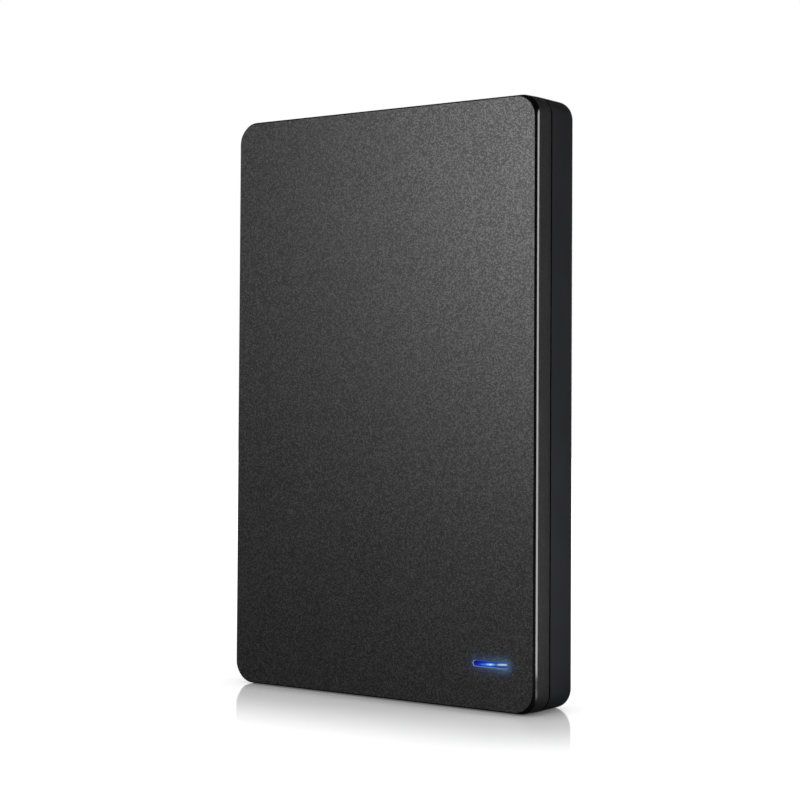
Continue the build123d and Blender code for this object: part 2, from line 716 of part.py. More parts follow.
def tongue_profile(grow, room):
    """The two keyed tongues of the SATA connector, x by z, with room over them for contacts."""
    profile = Sketch()
    low = SATA_LEVEL - TONGUE_SHEET / 2
    high = SATA_LEVEL + TONGUE_SHEET / 2
    for left, right in sata_tongues():
        flat = Rectangle(right - left + 2 * grow, TONGUE_SHEET + 2 * grow + room)
        profile += Pos((left + right) / 2, (low + high + room) / 2) * flat
        key = Rectangle(TONGUE_SHEET + 2 * grow, TONGUE_SHEET + TONGUE_KEY + 2 * grow)
        profile += Pos(left + TONGUE_SHEET / 2, (low + high - TONGUE_KEY) / 2) * key
    return profile


def nose_profile(grow):
    """The outline of the receptacle nose, x by z."""
    left = sata_tongues()[0][0] - NOSE_MARGIN
    right = sata_tongues()[1][1] + NOSE_MARGIN
    plan = Rectangle(right - left + 2 * grow, NOSE_HEIGHT + 2 * grow)
    return Pos((left + right) / 2, SATA_LEVEL) * plan


SATA_LEVEL = PCB_TOP + PLUG_WALL + PLUG_PLAY + NOSE_HEIGHT / 2
PLUG_TOP = SATA_LEVEL + NOSE_HEIGHT / 2 + PLUG_PLAY + PLUG_WALL


def sata_plug():
    """Connector on the drive board: a pocket at the end of the drive with two keyed tongues."""
    left = sata_tongues()[0][0] - NOSE_MARGIN - PLUG_PLAY - PLUG_WALL
    right = sata_tongues()[1][1] + NOSE_MARGIN + PLUG_PLAY + PLUG_WALL
    body = block((left, right), (DRIVE_Y, DRIVE_Y + PLUG_DEPTH), (PCB_TOP, PLUG_TOP))
    bottom = DRIVE_Y + NOSE_REACH + PLUG_PLAY
    body -= along(nose_profile(PLUG_PLAY), DRIVE_Y, bottom)
    return body + along(tongue_profile(0, 0), DRIVE_Y + TONGUE_SUNK, bottom)


def contact_row(start, end, bottom):
    """One thin strip for each contact, in a row over each SATA tongue."""
    whole = Part()
    for (left, right), count in zip(sata_tongues(), (POWER_CONTACTS, SIGNAL_CONTACTS)):
        for step in range(count):
            x = (left + right) / 2 + (step - (count - 1) / 2) * CONTACT_PITCH
            whole += block((x - CONTACT_WIDTH / 2, x + CONTACT_WIDTH / 2), (start, end),
                           (bottom, bottom + CONTACT_SHEET))
    return whole


def sata_plug_contacts():
    """Contact strips on the tongues of the drive connector."""
    start = DRIVE_Y + 2 * TONGUE_SUNK
    return contact_row(start, DRIVE_Y + NOSE_REACH + PLUG_PLAY, SATA_LEVEL + TONGUE_SHEET / 2)


def sata_springs():
    """Contact strips in the slots of the receptacle, just above those of the drive."""
    ceiling = SATA_LEVEL + TONGUE_SHEET / 2 + SATA_PLAY + CONTACT_ROOM
    start = DRIVE_Y - RECEPTACLE_DEPTH / 2
    return contact_row(start, DRIVE_Y + NOSE_REACH - TONGUE_SUNK, ceiling - CONTACT_SHEET)


def sata_receptacle():
    """Connector on the bridge board, its nose pushed into the drive over the tongues."""
    left = sata_tongues()[0][0] - NOSE_MARGIN
    right = sata_tongues()[1][1] + NOSE_MARGIN
    crown = SATA_LEVEL + NOSE_HEIGHT / 2 + RECEPTACLE_CROWN
    body = block((left, right), (DRIVE_Y - RECEPTACLE_DEPTH, DRIVE_Y - SATA_PLAY), (BOARD_TOP, crown))
    body += along(nose_profile(0), DRIVE_Y - SATA_PLAY, DRIVE_Y + NOSE_REACH)
    slots = tongue_profile(SATA_PLAY, CONTACT_ROOM)
    return body - along(slots, DRIVE_Y - RECEPTACLE_DEPTH / 2, DRIVE_Y + NOSE_REACH)


def drive_base():
    """Cast base: disk well, actuator bay, motor well, board recess and mounting holes."""
    body = slab(drive_plan(), DRIVE_Z, WALL_TOP)
    body -= slab(chamber_plan(0), FLOOR_Z, WALL_TOP)
    body -= pin(0, SPINDLE_Y, MOTOR_WELL, MOTOR_Z, FLOOR_Z)
    lightening = Pos(0, SPINDLE_Y) * Circle(WELL_RADIUS - LIGHTENING_EDGE)
    lightening -= Pos(0, SPINDLE_Y) * Circle(MOTOR_WELL + SHROUD_WALL)
    for x, y in mount_places():
        lightening -= Pos(x, y) * Rectangle(2 * MOUNT_PAD, 2 * MOUNT_PAD)
    body -= slab(lightening, DRIVE_Z, FLOOR_UNDER)
    body -= slab(pcb_plan(0), DRIVE_Z, FLOOR_UNDER)
    left = sata_tongues()[0][0] - NOSE_MARGIN - PLUG_WALL - 2 * PLUG_PLAY
    right = sata_tongues()[1][1] + NOSE_MARGIN + PLUG_WALL + 2 * PLUG_PLAY
    body -= block((left, right), (DRIVE_Y, DRIVE_Y + PLUG_DEPTH + PLUG_PLAY),
                  (DRIVE_Z, PLUG_TOP + PLUG_PLAY))
    x, y = cover_screw_places()[4]
    body += stud(x + SCREW_RADIUS, y, 3 * SCREW_RADIUS, FLOOR_Z, WALL_TOP)
    for x, y in cover_screw_places()[:5]:
        body -= stud(x, y, SCREW_RADIUS + SCREW_PLAY, DRIVE_TOP - SCREW_HEAD_TALL - SCREW_LENGTH, WALL_TOP)
    for x, y in pcb_screw_places():
        body += stud(x, y, 2 * SCREW_RADIUS, PCB_TOP, FLOOR_UNDER)
        body -= stud(x, y, SCREW_RADIUS + SCREW_PLAY, PCB_TOP, PCB_Z + BOARD_SCREW_LENGTH)
    for x, y in mount_places():
        body -= stud(x, y, MOUNT_HOLE, DRIVE_Z, DRIVE_Z + MOUNT_DEEP)
        side = DRIVE_HALF if x > 0 else -DRIVE_HALF
        hole = Rot(0, -90 if x > 0 else 90, 0) * stud(0, 0, MOUNT_HOLE, 0, MOUNT_DEEP)
        body -= Pos(side, y, DRIVE_Z + MOUNT_LEVEL) * hole
    return body - pin(0, SPINDLE_Y, SLEEVE_RADIUS, DRIVE_Z, FLOOR_Z)


def drive_cover():
    """Stamped cover over the drive base, its screw seats sunk level with the top."""
    body = slab(drive_plan(), COVER_Z, DRIVE_TOP)
    for x, y in cover_screw_places():
        body -= stud(x, y, SCREW_HEAD + SCREW_PLAY, DRIVE_TOP - SCREW_HEAD_TALL, DRIVE_TOP)
        body -= stud(x, y, SCREW_RADIUS + SCREW_PLAY, COVER_Z, DRIVE_TOP)
    return body


def cover_gasket():
    """Elastic bead on the wall round the chamber, under the cover."""
    bead = chamber_plan(GASKET_INSET + GASKET_WIDTH) - chamber_plan(GASKET_INSET)
    return slab(bead, WALL_TOP, COVER_Z)


def cover_screws():
    """Screws of the drive cover, the last one in the pivot shaft."""
    whole = Part()
    for x, y in cover_screw_places():
        whole += screw(x, y, DRIVE_TOP - SCREW_HEAD_TALL, SCREW_LENGTH, True)
    return whole


def drive_board():
    """Drive circuit board in the recess under the base."""
    board = slab(pcb_plan(PCB_PLAY), PCB_Z, PCB_TOP)
    for x, y in pcb_screw_places():
        board -= stud(x, y, SCREW_RADIUS + SCREW_PLAY, PCB_Z, PCB_TOP)
    return board


def drive_board_screws():
    """Screws that hold the drive board to the base."""
    whole = Part()
    for x, y in pcb_screw_places():
        whole += screw(x, y, PCB_Z, BOARD_SCREW_LENGTH, False)
    return whole


def on_pcb(step, length, width):
    """A chip on the inner side of the drive board, in a row across it."""
    x = step * CHIP_PITCH
    y = DRIVE_Y + CHIP_ROW
    return block((x - width / 2, x + width / 2), (y - length / 2, y + length / 2),
                 (PCB_TOP, PCB_TOP + CHIP_TALL))


def drive_controller():
    """Main chip of the drive."""
    return on_pcb(0, CHIP_LARGE, CHIP_LARGE)


def cache_memory():
    """Memory chip of the drive."""
    return on_pcb(-1, CHIP_LONG, CHIP_SHORT)


def motor_driver():
    """Motor driver chip of the drive."""
    return on_pcb(1, CHIP_SMALL, CHIP_SMALL)


def board_insulator():
    """Thin foam between the chips and the floor of the base."""
    y = DRIVE_Y + CHIP_ROW
    return block((-INSULATOR_WIDTH / 2, INSULATOR_WIDTH / 2),
                 (y - INSULATOR_LENGTH / 2, y + INSULATOR_LENGTH / 2),
                 (FLOOR_UNDER - INSULATOR_SHEET, FLOOR_UNDER))


SLEEVE_TOP = PLATTER_TOP - HUB_RADIUS / 5
MAGNET_OUT = HUB_FLANGE - HUB_SKIRT
MAGNET_IN = MAGNET_OUT - MAGNET_RING
STATOR_OUT = MAGNET_IN - MAGNET_AIR
SKIRT_TOP = LOW_PLATTER_Z - HUB_FLANGE_SHEET
SKIRT_END = MOTOR_Z + MOTOR_GAP
STATOR_MIDDLE = (SKIRT_END + SKIRT_TOP) / 2
HUB_TOP_Z = PLATTER_TOP + HUB_TOP


def bearing_sleeve():
    """Fixed sleeve of the spindle bearing, pressed into the base."""
    return ring(0, SPINDLE_Y, SHAFT_RADIUS + SHAFT_PLAY, SLEEVE_RADIUS, DRIVE_Z + MOTOR_LIFT, SLEEVE_TOP)


def tooth_places():
    """Directions of the stator teeth."""
    return [step * 360 / STATOR_TEETH for step in range(STATOR_TEETH)]


def stator_core():
    """Laminated core round the sleeve, with a shoe at the end of each tooth."""
    inner = SLEEVE_RADIUS
    plan = Circle(inner + STATOR_RING)
    for turn in tooth_places():
        tooth = Pos((inner + STATOR_OUT) / 2, 0) * Rectangle(STATOR_OUT - inner - STATOR_SHOE, STATOR_TOOTH)
        shoe = sector(STATOR_OUT - STATOR_SHOE, STATOR_OUT, -STATOR_SHOE_SPREAD, STATOR_SHOE_SPREAD)
        plan += Rot(0, 0, turn) * (tooth + shoe)
    plan -= Circle(inner)
    level = STATOR_MIDDLE - STATOR_SHEET / 2
    return Pos(0, SPINDLE_Y, 0) * slab(plan, level, level + STATOR_SHEET)


def stator_coils():
    """One winding round each stator tooth."""
    start = SLEEVE_RADIUS + STATOR_RING
    end = STATOR_OUT - STATOR_SHOE
    length = (end - start) * 0.6
    whole = Part()
    for turn in tooth_places():
        winding = Box(length, STATOR_TOOTH + 2 * COIL_WRAP, STATOR_SHEET + 2 * COIL_WRAP)
        winding -= Box(length, STATOR_TOOTH, STATOR_SHEET)
        whole += Rot(0, 0, turn) * Pos((start + end) / 2, 0, 0) * winding
    return Pos(0, SPINDLE_Y, STATOR_MIDDLE) * whole


def spindle_hub():
    """Rotor hub with its shaft, the platter flange and the skirt round the motor magnet."""
    crown = SLEEVE_TOP + SLEEVE_HEAD_GAP
    well = SLEEVE_RADIUS + SLEEVE_HEAD_GAP
    points = [
        (0, DRIVE_Z + MOTOR_LIFT), (SHAFT_RADIUS, DRIVE_Z + MOTOR_LIFT), (SHAFT_RADIUS, crown),
        (well, crown), (well, SKIRT_TOP), (MAGNET_OUT, SKIRT_TOP), (MAGNET_OUT, SKIRT_END),
        (HUB_FLANGE, SKIRT_END), (HUB_FLANGE, LOW_PLATTER_Z), (HUB_RADIUS, LOW_PLATTER_Z),
        (HUB_RADIUS, HUB_TOP_Z), (0, HUB_TOP_Z),
    ]
    hub = turned(points, 0, SPINDLE_Y)
    return hub - stud(0, SPINDLE_Y, SCREW_RADIUS + SCREW_PLAY, crown, HUB_TOP_Z)


def rotor_magnet():
    """Ring magnet inside the skirt of the hub."""
    return ring(0, SPINDLE_Y, MAGNET_IN, MAGNET_OUT, SKIRT_END, SKIRT_TOP)


def platter(level):
    """One recording disk."""
    return ring(0, SPINDLE_Y, HUB_RADIUS + PLATTER_FIT, PLATTER_RADIUS, level, level + PLATTER_SHEET)


def lower_platter():
    """Disk on the hub flange."""
    return platter(LOW_PLATTER_Z)


def upper_platter():
    """Disk on the spacer."""
    return platter(HIGH_PLATTER_Z)


def platter_spacer():
    """Ring between the two disks."""
    low = LOW_PLATTER_Z + PLATTER_SHEET
    return ring(0, SPINDLE_Y, HUB_RADIUS + PLATTER_FIT, SPACER_RADIUS, low, HIGH_PLATTER_Z)


def disk_clamp():
    """Clamp plate on the hub, its foot ring on the upper disk."""
    clamp = pin(0, SPINDLE_Y, CLAMP_RADIUS, HUB_TOP_Z, HUB_TOP_Z + CLAMP_SHEET)
    clamp += ring(0, SPINDLE_Y, CLAMP_RADIUS - CLAMP_FOOT, CLAMP_RADIUS, PLATTER_TOP, HUB_TOP_Z)
    return clamp - stud(0, SPINDLE_Y, SCREW_RADIUS + SCREW_PLAY, HUB_TOP_Z, HUB_TOP_Z + CLAMP_SHEET)


def clamp_screw():
    """Screw that holds the clamp to the hub."""
    seat = HUB_TOP_Z + CLAMP_SHEET
    return screw(0, SPINDLE_Y, seat, seat - SLEEVE_TOP - SLEEVE_HEAD_GAP, True)


def at_pivot(shape, turn):
    """A shape drawn round the pivot, turned and moved to its place."""
    return Pos(PIVOT_X, PIVOT_Y, 0) * Rot(0, 0, turn) * shape


def arm_block():
    """Comb of three arms with its bearing housing and the fork that holds the coil."""
    tip = HEAD_REACH - BEAM_FREE
    arm = Polygon((0, -ARM_ROOT / 2), (tip, -ARM_TIP / 2), (tip, ARM_TIP / 2), (0, ARM_ROOT / 2), align=None)
    arm += Pos(tip, 0) * RegularPolygon(ARM_TIP / 2, SMALL_SIDES)
    arm -= Pos((HOUSING_RADIUS + tip) / 2, 0) * RegularPolygon(ARM_HOLE, SMALL_SIDES)
    whole = slab(arm, LOW_ARM_Z, LOW_ARM_Z + OUTER_ARM)
    whole += slab(arm, MIDDLE_ARM_Z, MIDDLE_ARM_Z + MIDDLE_ARM)
    whole += slab(arm, HIGH_ARM_Z, ARM_TOP)
    reach = COIL_OUT + FORK_PAST_COIL
    fork = sector(CARTRIDGE_RADIUS, reach, 180 - FORK_SPREAD, 180 + FORK_SPREAD)
    fork -= sector(COIL_IN, reach + 1, 180 - COIL_SPREAD, 180 + COIL_SPREAD)
    whole += slab(fork, COIL_Z, COIL_TOP)
    whole += slab(Circle(HOUSING_RADIUS), LOW_ARM_Z, ARM_TOP)
    whole -= slab(Circle(CARTRIDGE_RADIUS), LOW_ARM_Z, ARM_TOP)
    return at_pivot(whole, PARK_ANGLE)


def pivot_cartridge():
    """Outer sleeve of the pivot bearing, pressed into the arm block."""
    return ring(PIVOT_X, PIVOT_Y, PIVOT_RADIUS + PIVOT_PLAY, CARTRIDGE_RADIUS, LOW_ARM_Z, ARM_TOP)


def pivot_shaft():
    """Fixed pivot post between the base and the cover, bored for the cover screw."""
    post = pin(PIVOT_X, PIVOT_Y, PIVOT_RADIUS, FLOOR_Z, COVER_Z)
    post += stud(PIVOT_X, PIVOT_Y, PIVOT_FOOT, FLOOR_Z, FLOOR_Z + PIVOT_FOOT_SHEET)
    depth = DRIVE_TOP - SCREW_HEAD_TALL - SCREW_LENGTH
    return post - stud(PIVOT_X, PIVOT_Y, SCREW_RADIUS + SCREW_PLAY, depth, COVER_Z)


def voice_coil():
    """Flat winding in the fork of the arm block."""
    coil = sector(COIL_IN, COIL_OUT, 180 - COIL_SPREAD, 180 + COIL_SPREAD)
    spread = COIL_SPREAD - degrees(COIL_BAND / (COIL_IN + COIL_BAND))
    coil -= sector(COIL_IN + COIL_BAND, COIL_OUT - COIL_BAND, 180 - spread, 180 + spread)
    return at_pivot(slab(coil, COIL_Z, COIL_TOP), PARK_ANGLE)


def beam_levels():
    """Underside of each load beam and whether its head faces up."""
    return [
        (LOW_ARM_Z + OUTER_ARM, True),
        (MIDDLE_ARM_Z - BEAM_SHEET, False),
        (MIDDLE_ARM_Z + MIDDLE_ARM, True),
        (HIGH_ARM_Z - BEAM_SHEET, False),
    ]


def load_beams():
    """Thin tapered springs from the arms to the heads, each ending in a lift tab."""
    start = HEAD_REACH - BEAM_FREE - BEAM_LAP
    end = HEAD_REACH + BEAM_TAB
    beam = Polygon((start, -BEAM_ROOT / 2), (end, -BEAM_TIP / 2), (end, BEAM_TIP / 2),
                   (start, BEAM_ROOT / 2), align=None)
    whole = Part()
    for level, faces_up in beam_levels():
        whole += slab(beam, level, level + BEAM_SHEET)
    return at_pivot(whole, PARK_ANGLE)


def head_sliders():
    """The four heads, two to a disk."""
    slider = Pos(HEAD_REACH - SLIDER_LENGTH / 2, 0) * Rectangle(SLIDER_LENGTH, SLIDER_WIDTH)
    whole = Part()
    for level, faces_up in beam_levels():
        bottom = level + BEAM_SHEET if faces_up else level - SLIDER_SHEET
        whole += slab(slider, bottom, bottom + SLIDER_SHEET)
    return at_pivot(whole, PARK_ANGLE)


MAGNET_LOW = COIL_Z - COIL_GAP - MAGNET_SHEET
MAGNET_HIGH = COIL_TOP + COIL_GAP
YOKE_HIGH = MAGNET_HIGH + MAGNET_SHEET


def yoke_plan(margin, inner, outer):
    """The plan of the voice coil motor, over the whole travel of the coil."""
    start = COIL_ANGLE - COIL_SPREAD - margin
    end = COIL_ANGLE + SWING + COIL_SPREAD + margin
    return at_pivot(sector(inner, outer, start, end), 0)


def lower_yoke():
    """Steel plate under the coil, on the floor of the base."""
    return slab(yoke_plan(YOKE_MARGIN, YOKE_IN, YOKE_OUT), FLOOR_Z, MAGNET_LOW)


def lower_magnet():
    """Magnet on the lower yoke."""
    return slab(yoke_plan(0, COIL_IN, COIL_OUT), MAGNET_LOW, MAGNET_LOW + MAGNET_SHEET)


def upper_magnet():
    """Magnet under the upper yoke."""
    return slab(yoke_plan(0, COIL_IN, COIL_OUT), MAGNET_HIGH, YOKE_HIGH)


def upper_yoke():
    """Steel plate over the coil, on the spacers."""
    return slab(yoke_plan(YOKE_MARGIN, YOKE_IN, YOKE_OUT), YOKE_HIGH, YOKE_HIGH + YOKE_SHEET)


def yoke_spacers():
    """Posts between the two yokes, outside the travel of the coil."""
    reach = YOKE_OUT - YOKE_SPACER_EDGE
    middle = COIL_ANGLE + SWING / 2
    half = SWING / 2 + COIL_SPREAD / 2
    whole = Part()
    for turn in (middle - half, middle, middle + half):
        x = PIVOT_X + reach * cos(radians(turn))
        y = PIVOT_Y + reach * sin(radians(turn))
        whole += stud(x, y, YOKE_SPACER, MAGNET_LOW, YOKE_HIGH)
    return whole


def load_ramp():
    """Plastic comb beside the disks; the lift tabs park on its tongues."""
    reach = HEAD_REACH + BEAM_TAB + RAMP_PAST_TAB
    inner = HEAD_REACH + RAMP_HEAD_GAP
    park = PARK_ANGLE - RAMP_PAST_PARK
    end = PARK_ANGLE + SWING
    tongue = at_pivot(sector(inner, reach, park, end), 0)
    tongue -= Pos(0, SPINDLE_Y) * Circle(PLATTER_RADIUS + RAMP_RIM_GAP)
    room = slab(chamber_plan(-RAMP_WALL_GAP), FLOOR_Z, WALL_TOP)
    levels = beam_levels()
    body = Part()
    for low, high in ((levels[0], levels[1]), (levels[2], levels[3])):
        bottom = low[0] + BEAM_SHEET + RAMP_FLOOR_GAP
        body += slab(tongue, bottom, high[0] - RAMP_FLOOR_GAP)
    post = at_pivot(sector(inner, reach, park - RAMP_POST, park), 0)
    top = HIGH_ARM_Z - BEAM_SHEET - RAMP_FLOOR_GAP
    return (body + slab(post, FLOOR_Z, top)) & room


def crash_stops():
    """Two soft pins at the ends of the swing."""
    clear = degrees(asin((STOP_RADIUS + STOP_GAP) / STOP_REACH))
    whole = Part()
    for turn in (COIL_ANGLE - FORK_SPREAD - clear, COIL_ANGLE + SWING + FORK_SPREAD + clear):
        x = PIVOT_X + STOP_REACH * cos(radians(turn))
        y = PIVOT_Y + STOP_REACH * sin(radians(turn))
        whole += stud(x, y, STOP_RADIUS, FLOOR_Z, COIL_TOP)
    return whole


def head_flex():
    """Thin flexible strip from the arm block to its connector."""
    right = PIVOT_X - HOUSING_RADIUS - FLEX_GAP
    left = right - FLEX_SPAN
    middle = ((left + right) / 2, PIVOT_Y + FLEX_SAG)
    strip = trace(ThreePointArc((right, PIVOT_Y), middle, (left, PIVOT_Y)), FLEX_SHEET)
    return slab(strip, COIL_MIDDLE - FLEX_WIDTH / 2, COIL_MIDDLE + FLEX_WIDTH / 2)


def flex_connector():
    """Connector block on the floor where the flex ends."""
    right = PIVOT_X - HOUSING_RADIUS - 2 * FLEX_GAP - FLEX_SPAN
    top = max(FLOOR_Z + SOCKET_TALL, COIL_MIDDLE + FLEX_WIDTH / 2)
    return block((right - SOCKET_LENGTH, right),
                 (PIVOT_Y - SOCKET_WIDTH / 2, PIVOT_Y + SOCKET_WIDTH / 2), (FLOOR_Z, top))


def recirculation_filter():
    """Felt block in the corner of the bay beside the disks."""
    left = -BAY_HALF + FILTER_EDGE
    y = BAY_END - BAY_PAST_PARK
    return block((left, left + FILTER_WIDTH), (y - FILTER_LENGTH / 2, y + FILTER_LENGTH / 2),
                 (FLOOR_Z, FLOOR_Z + FILTER_TALL))


def breather_filter():
    """Round filter pad under the cover."""
    y = PIVOT_Y - BREATHER_FROM_PIVOT
    return pin(BREATHER_X, y, BREATHER_RADIUS, COVER_Z - BREATHER_SHEET, COVER_Z)


NODES = [
    front_cover, rear_cover, light_pipe, front_pads, rear_pads, side_bumpers, end_foam,
    bridge_board, bridge_controller, flash_memory, crystal, power_inductor, capacitors,
    indicator_led, usb_shell, usb_insulator, usb_contacts, sata_receptacle, sata_springs,
    drive_base, drive_cover, cover_gasket, cover_screws, drive_board, drive_board_screws,
    drive_controller, cache_memory, motor_driver, board_insulator, sata_plug, sata_plug_contacts,
    bearing_sleeve, stator_core, stator_coils, spindle_hub, rotor_magnet, lower_platter,
    upper_platter, platter_spacer, disk_clamp, clamp_screw, arm_block, pivot_cartridge,
    pivot_shaft, voice_coil, load_beams, head_sliders, lower_yoke, lower_magnet, upper_magnet,
    upper_yoke, yoke_spacers, load_ramp, crash_stops, head_flex, flex_connector,
    recirculation_filter, breather_filter,
]

# Stand every piece up on its port edge, front face towards -y
os.makedirs("parts", exist_ok=True)
STAND = Pos(0, CASE_THICKNESS / 2, 0) * Rot(90, 0, 0)
for make in NODES:
    export_step(STAND * make(), f"parts/{make.__name__}.step")
print(f"case {2 * CASE_HALF:.2f} x {CASE_THICKNESS:.2f} x {CASE_LENGTH:.2f}")
print(f"drive {2 * DRIVE_HALF:.2f} x {DRIVE_TOP - DRIVE_Z:.2f} x {DRIVE_END - DRIVE_Y:.2f}")
print(f"spindle at {0.0:.3f}, {SPINDLE_Y:.3f}; pivot at {PIVOT_X:.3f}, {PIVOT_Y:.3f}; swing {SWING:.2f}")
print(f"port level {CASE_THICKNESS / 2 - BOARD_TOP - USB_HEIGHT / 2:.3f}")
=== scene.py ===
# %% [markdown]
# # Dressing a portable hard drive
# The frame is the measured solid model of the drive: two covers, a light pipe and everything inside.
# A solid model has exact sizes and plain colours. Here it gets what the eye judges: the soft roll of the
# rim, the moulded grain, the glow of the light and a white studio. Loading comes first, and the box of
# the solids is kept at once, because the dressed drive must not outgrow it.

import bpy
import numpy as np
from mathutils import Matrix, Vector


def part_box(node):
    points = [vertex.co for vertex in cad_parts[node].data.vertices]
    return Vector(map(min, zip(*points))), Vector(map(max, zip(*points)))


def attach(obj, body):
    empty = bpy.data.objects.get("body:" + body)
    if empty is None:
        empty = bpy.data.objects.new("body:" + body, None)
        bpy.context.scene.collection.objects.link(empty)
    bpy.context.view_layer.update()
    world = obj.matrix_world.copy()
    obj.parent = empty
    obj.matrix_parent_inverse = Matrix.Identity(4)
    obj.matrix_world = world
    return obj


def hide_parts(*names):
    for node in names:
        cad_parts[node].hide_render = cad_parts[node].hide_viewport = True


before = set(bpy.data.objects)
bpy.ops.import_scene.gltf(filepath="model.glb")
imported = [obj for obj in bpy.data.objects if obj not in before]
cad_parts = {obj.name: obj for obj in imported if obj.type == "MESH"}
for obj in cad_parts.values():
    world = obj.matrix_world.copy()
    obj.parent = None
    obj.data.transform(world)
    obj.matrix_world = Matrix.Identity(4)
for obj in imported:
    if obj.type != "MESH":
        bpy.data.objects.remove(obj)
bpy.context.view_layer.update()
MM = 0.001

# %% [markdown]
# ## Sizes that everything shares
# The case stands upright: x runs across, y from the front face to the back, z up. The frame gives the
# outer sizes, so the looks follow the solids if those change. Depths are counted from the front face.

# %% Case sizes
front_low, front_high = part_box("front_cover")
rear_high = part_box("rear_cover")[1]
HALF_WIDTH = front_high.x
HALF_HEIGHT = (front_high.z - front_low.z) / 2
FACE_Y = front_low.y
THICKNESS = rear_high.y - FACE_Y
CASE_MIDDLE = (0, (front_high.z + front_low.z) / 2)
CASE_HALF = (HALF_WIDTH, HALF_HEIGHT)
print("case in mm:", [round(v / MM, 2) for v in (2 * HALF_WIDTH, THICKNESS, 2 * HALF_HEIGHT)])

# %% [markdown]
# ## One walk round the case
# Every edge of a moulded case is a rounded rectangle, only larger or smaller. A curve object with a bevel
# could draw one, but then the corner radius could not change from the face to the wall. Instead one turn
# is stored as centres and directions. Any rounded rectangle is then a single formula on whole arrays.

# %% The walk
CORNER_SIGNS = np.array([(1, 1), (-1, 1), (-1, -1), (1, -1)], float)


def walk_round(corner_steps, side_steps):
    """Centres and directions of one turn, anticlockwise seen from the front.

    In each quarter the direction first swings by 90 degrees about a fixed centre, then holds still while
    the centre slides along the side to the next corner.
    """
    swing = np.concatenate([np.arange(corner_steps) / corner_steps, np.ones(side_steps)])
    slide = np.concatenate([np.zeros(corner_steps), np.arange(side_steps) / side_steps])
    turn = (np.arange(4)[:, None] + swing) * np.pi / 2
    here = CORNER_SIGNS[:, None, :]
    there = np.roll(CORNER_SIGNS, -1, axis=0)[:, None, :]
    centre = here + slide[None, :, None] * (there - here)
    direction = np.stack([np.cos(turn), np.sin(turn)], axis=-1)
    return centre.reshape(-1, 2), direction.reshape(-1, 2)


CENTRES, DIRECTIONS = walk_round(corner_steps=18, side_steps=14)
print("points in one turn:", len(CENTRES))

# %% Rounded rectangles


def set_depth(plan, depth):
    """Points in space from a flat plan of x and z: y is the front face plus the depth."""
    level = np.broadcast_to(FACE_Y + depth, plan[..., :1].shape)
    return np.concatenate([plan[..., :1], level, plan[..., 1:]], axis=-1)


def round_rings(middle, half, inset, depth, corner):
    """Rounded rectangles, one row for each inset, depth and corner radius.

    A point of the plan is middle + centre * (half size - inset - corner) + corner * direction.
    """
    rows = np.broadcast_arrays(*np.atleast_1d(inset, depth, corner))
    inset, depth, corner = (row[:, None, None] for row in rows)
    plan = np.asarray(middle) + CENTRES * (np.asarray(half) - inset - corner) + corner * DIRECTIONS
    return set_depth(plan, depth)


# %% [markdown]
# ## From rows of points to a mesh
# A shell like this closes on itself twice: round the case, and along its profile from the outside to the
# inside and back. So its grid wraps both ways and has no border to close. The signed volume tells which
# way the faces look, and the quads are turned round where it comes out negative.

# %% Mesh helpers
SHARP_ANGLE = np.radians(40)


def wrapped_quads(rows, columns):
    """Quads of a grid that wraps both ways, from the four corners of each cell."""
    row = np.arange(rows)[:, None]
    column = np.arange(columns)[None, :]
    next_row = (row + 1) % rows
    next_column = (column + 1) % columns
    corners = [row * columns + column, row * columns + next_column,
               next_row * columns + next_column, next_row * columns + column]
    return np.stack(np.broadcast_arrays(*corners), axis=-1).reshape(-1, 4)


def signed_volume(points, quads):
    """Volume of a closed mesh, the sum of a . (b x c) / 6 over its triangles."""
    a, b, c, d = (points[quads[:, k]] for k in range(4))
    halves = np.cross(b, c) + np.cross(c, d)
    return float(np.einsum("ij,ij->", a, halves) / 6)


def put_mesh(name, islands, body, node):
    """A smooth mesh object from closed islands of points and quads, riding in place of a node."""
    start, points, quads = 0, [], []
    for island_points, island_quads in islands:
        outward = signed_volume(island_points, island_quads) > 0
        quads.append(start + (island_quads if outward else island_quads[:, ::-1]))
        points.append(island_points)
        start += len(island_points)
    points, quads = np.concatenate(points), np.concatenate(quads)
    mesh = bpy.data.meshes.new(name)
    mesh.from_pydata(points.tolist(), [], quads.tolist())
    mesh.shade_smooth()
    mesh.set_sharp_from_angle(angle=SHARP_ANGLE)
    piece = bpy.data.objects.new(name, mesh)
    bpy.context.scene.collection.objects.link(piece)
    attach(piece, body)
    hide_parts(node)
    print(name, len(quads), "quads,", round(signed_volume(points, quads) / MM**3), "cubic mm")
    return piece


# %% [markdown]
# ## The front cover
# On the real drive this is a moulded tray. Its face and side wall carry a fine grain. Between them runs a
# polished rim of two narrow bands: one next to the face that stays black, and a steeper one next to the
# wall that catches the strip light. The wall leans in a little towards the face, as it must to leave the
# mould. A bevel modifier would give all edges one width, so the profile is a chain of points, and each
# corner of the chain gets its own small curve. A point of the chain is an inset from the outline of the
# case, a depth and a corner radius.

# %% A chain with rounded corners


def rounded_chain(points, bends, steps):
    """A chain of points with a short curve in place of each inner corner.

    The curve (1-s)^2 A + 2 s (1-s) P + s^2 B leads round the corner P, from A on the stretch before it
    to B on the stretch after it. A and B lie one bend away from P.
    """
    points = np.asarray(points, float)
    stretch = np.diff(points, axis=0)
    stretch = stretch / np.linalg.norm(stretch, axis=1, keepdims=True)
    corner = points[1:-1, None]
    reach = np.asarray(bends, float)[:, None, None]
    share = np.linspace(0, 1, steps)[None, :, None]
    before = corner - reach * stretch[:-1, None]
    after = corner + reach * stretch[1:, None]
    curve = (1 - share) ** 2 * before + 2 * share * (1 - share) * corner + share**2 * after
    return np.concatenate([points[:1], curve.reshape(-1, points.shape[1]), points[-1:]])


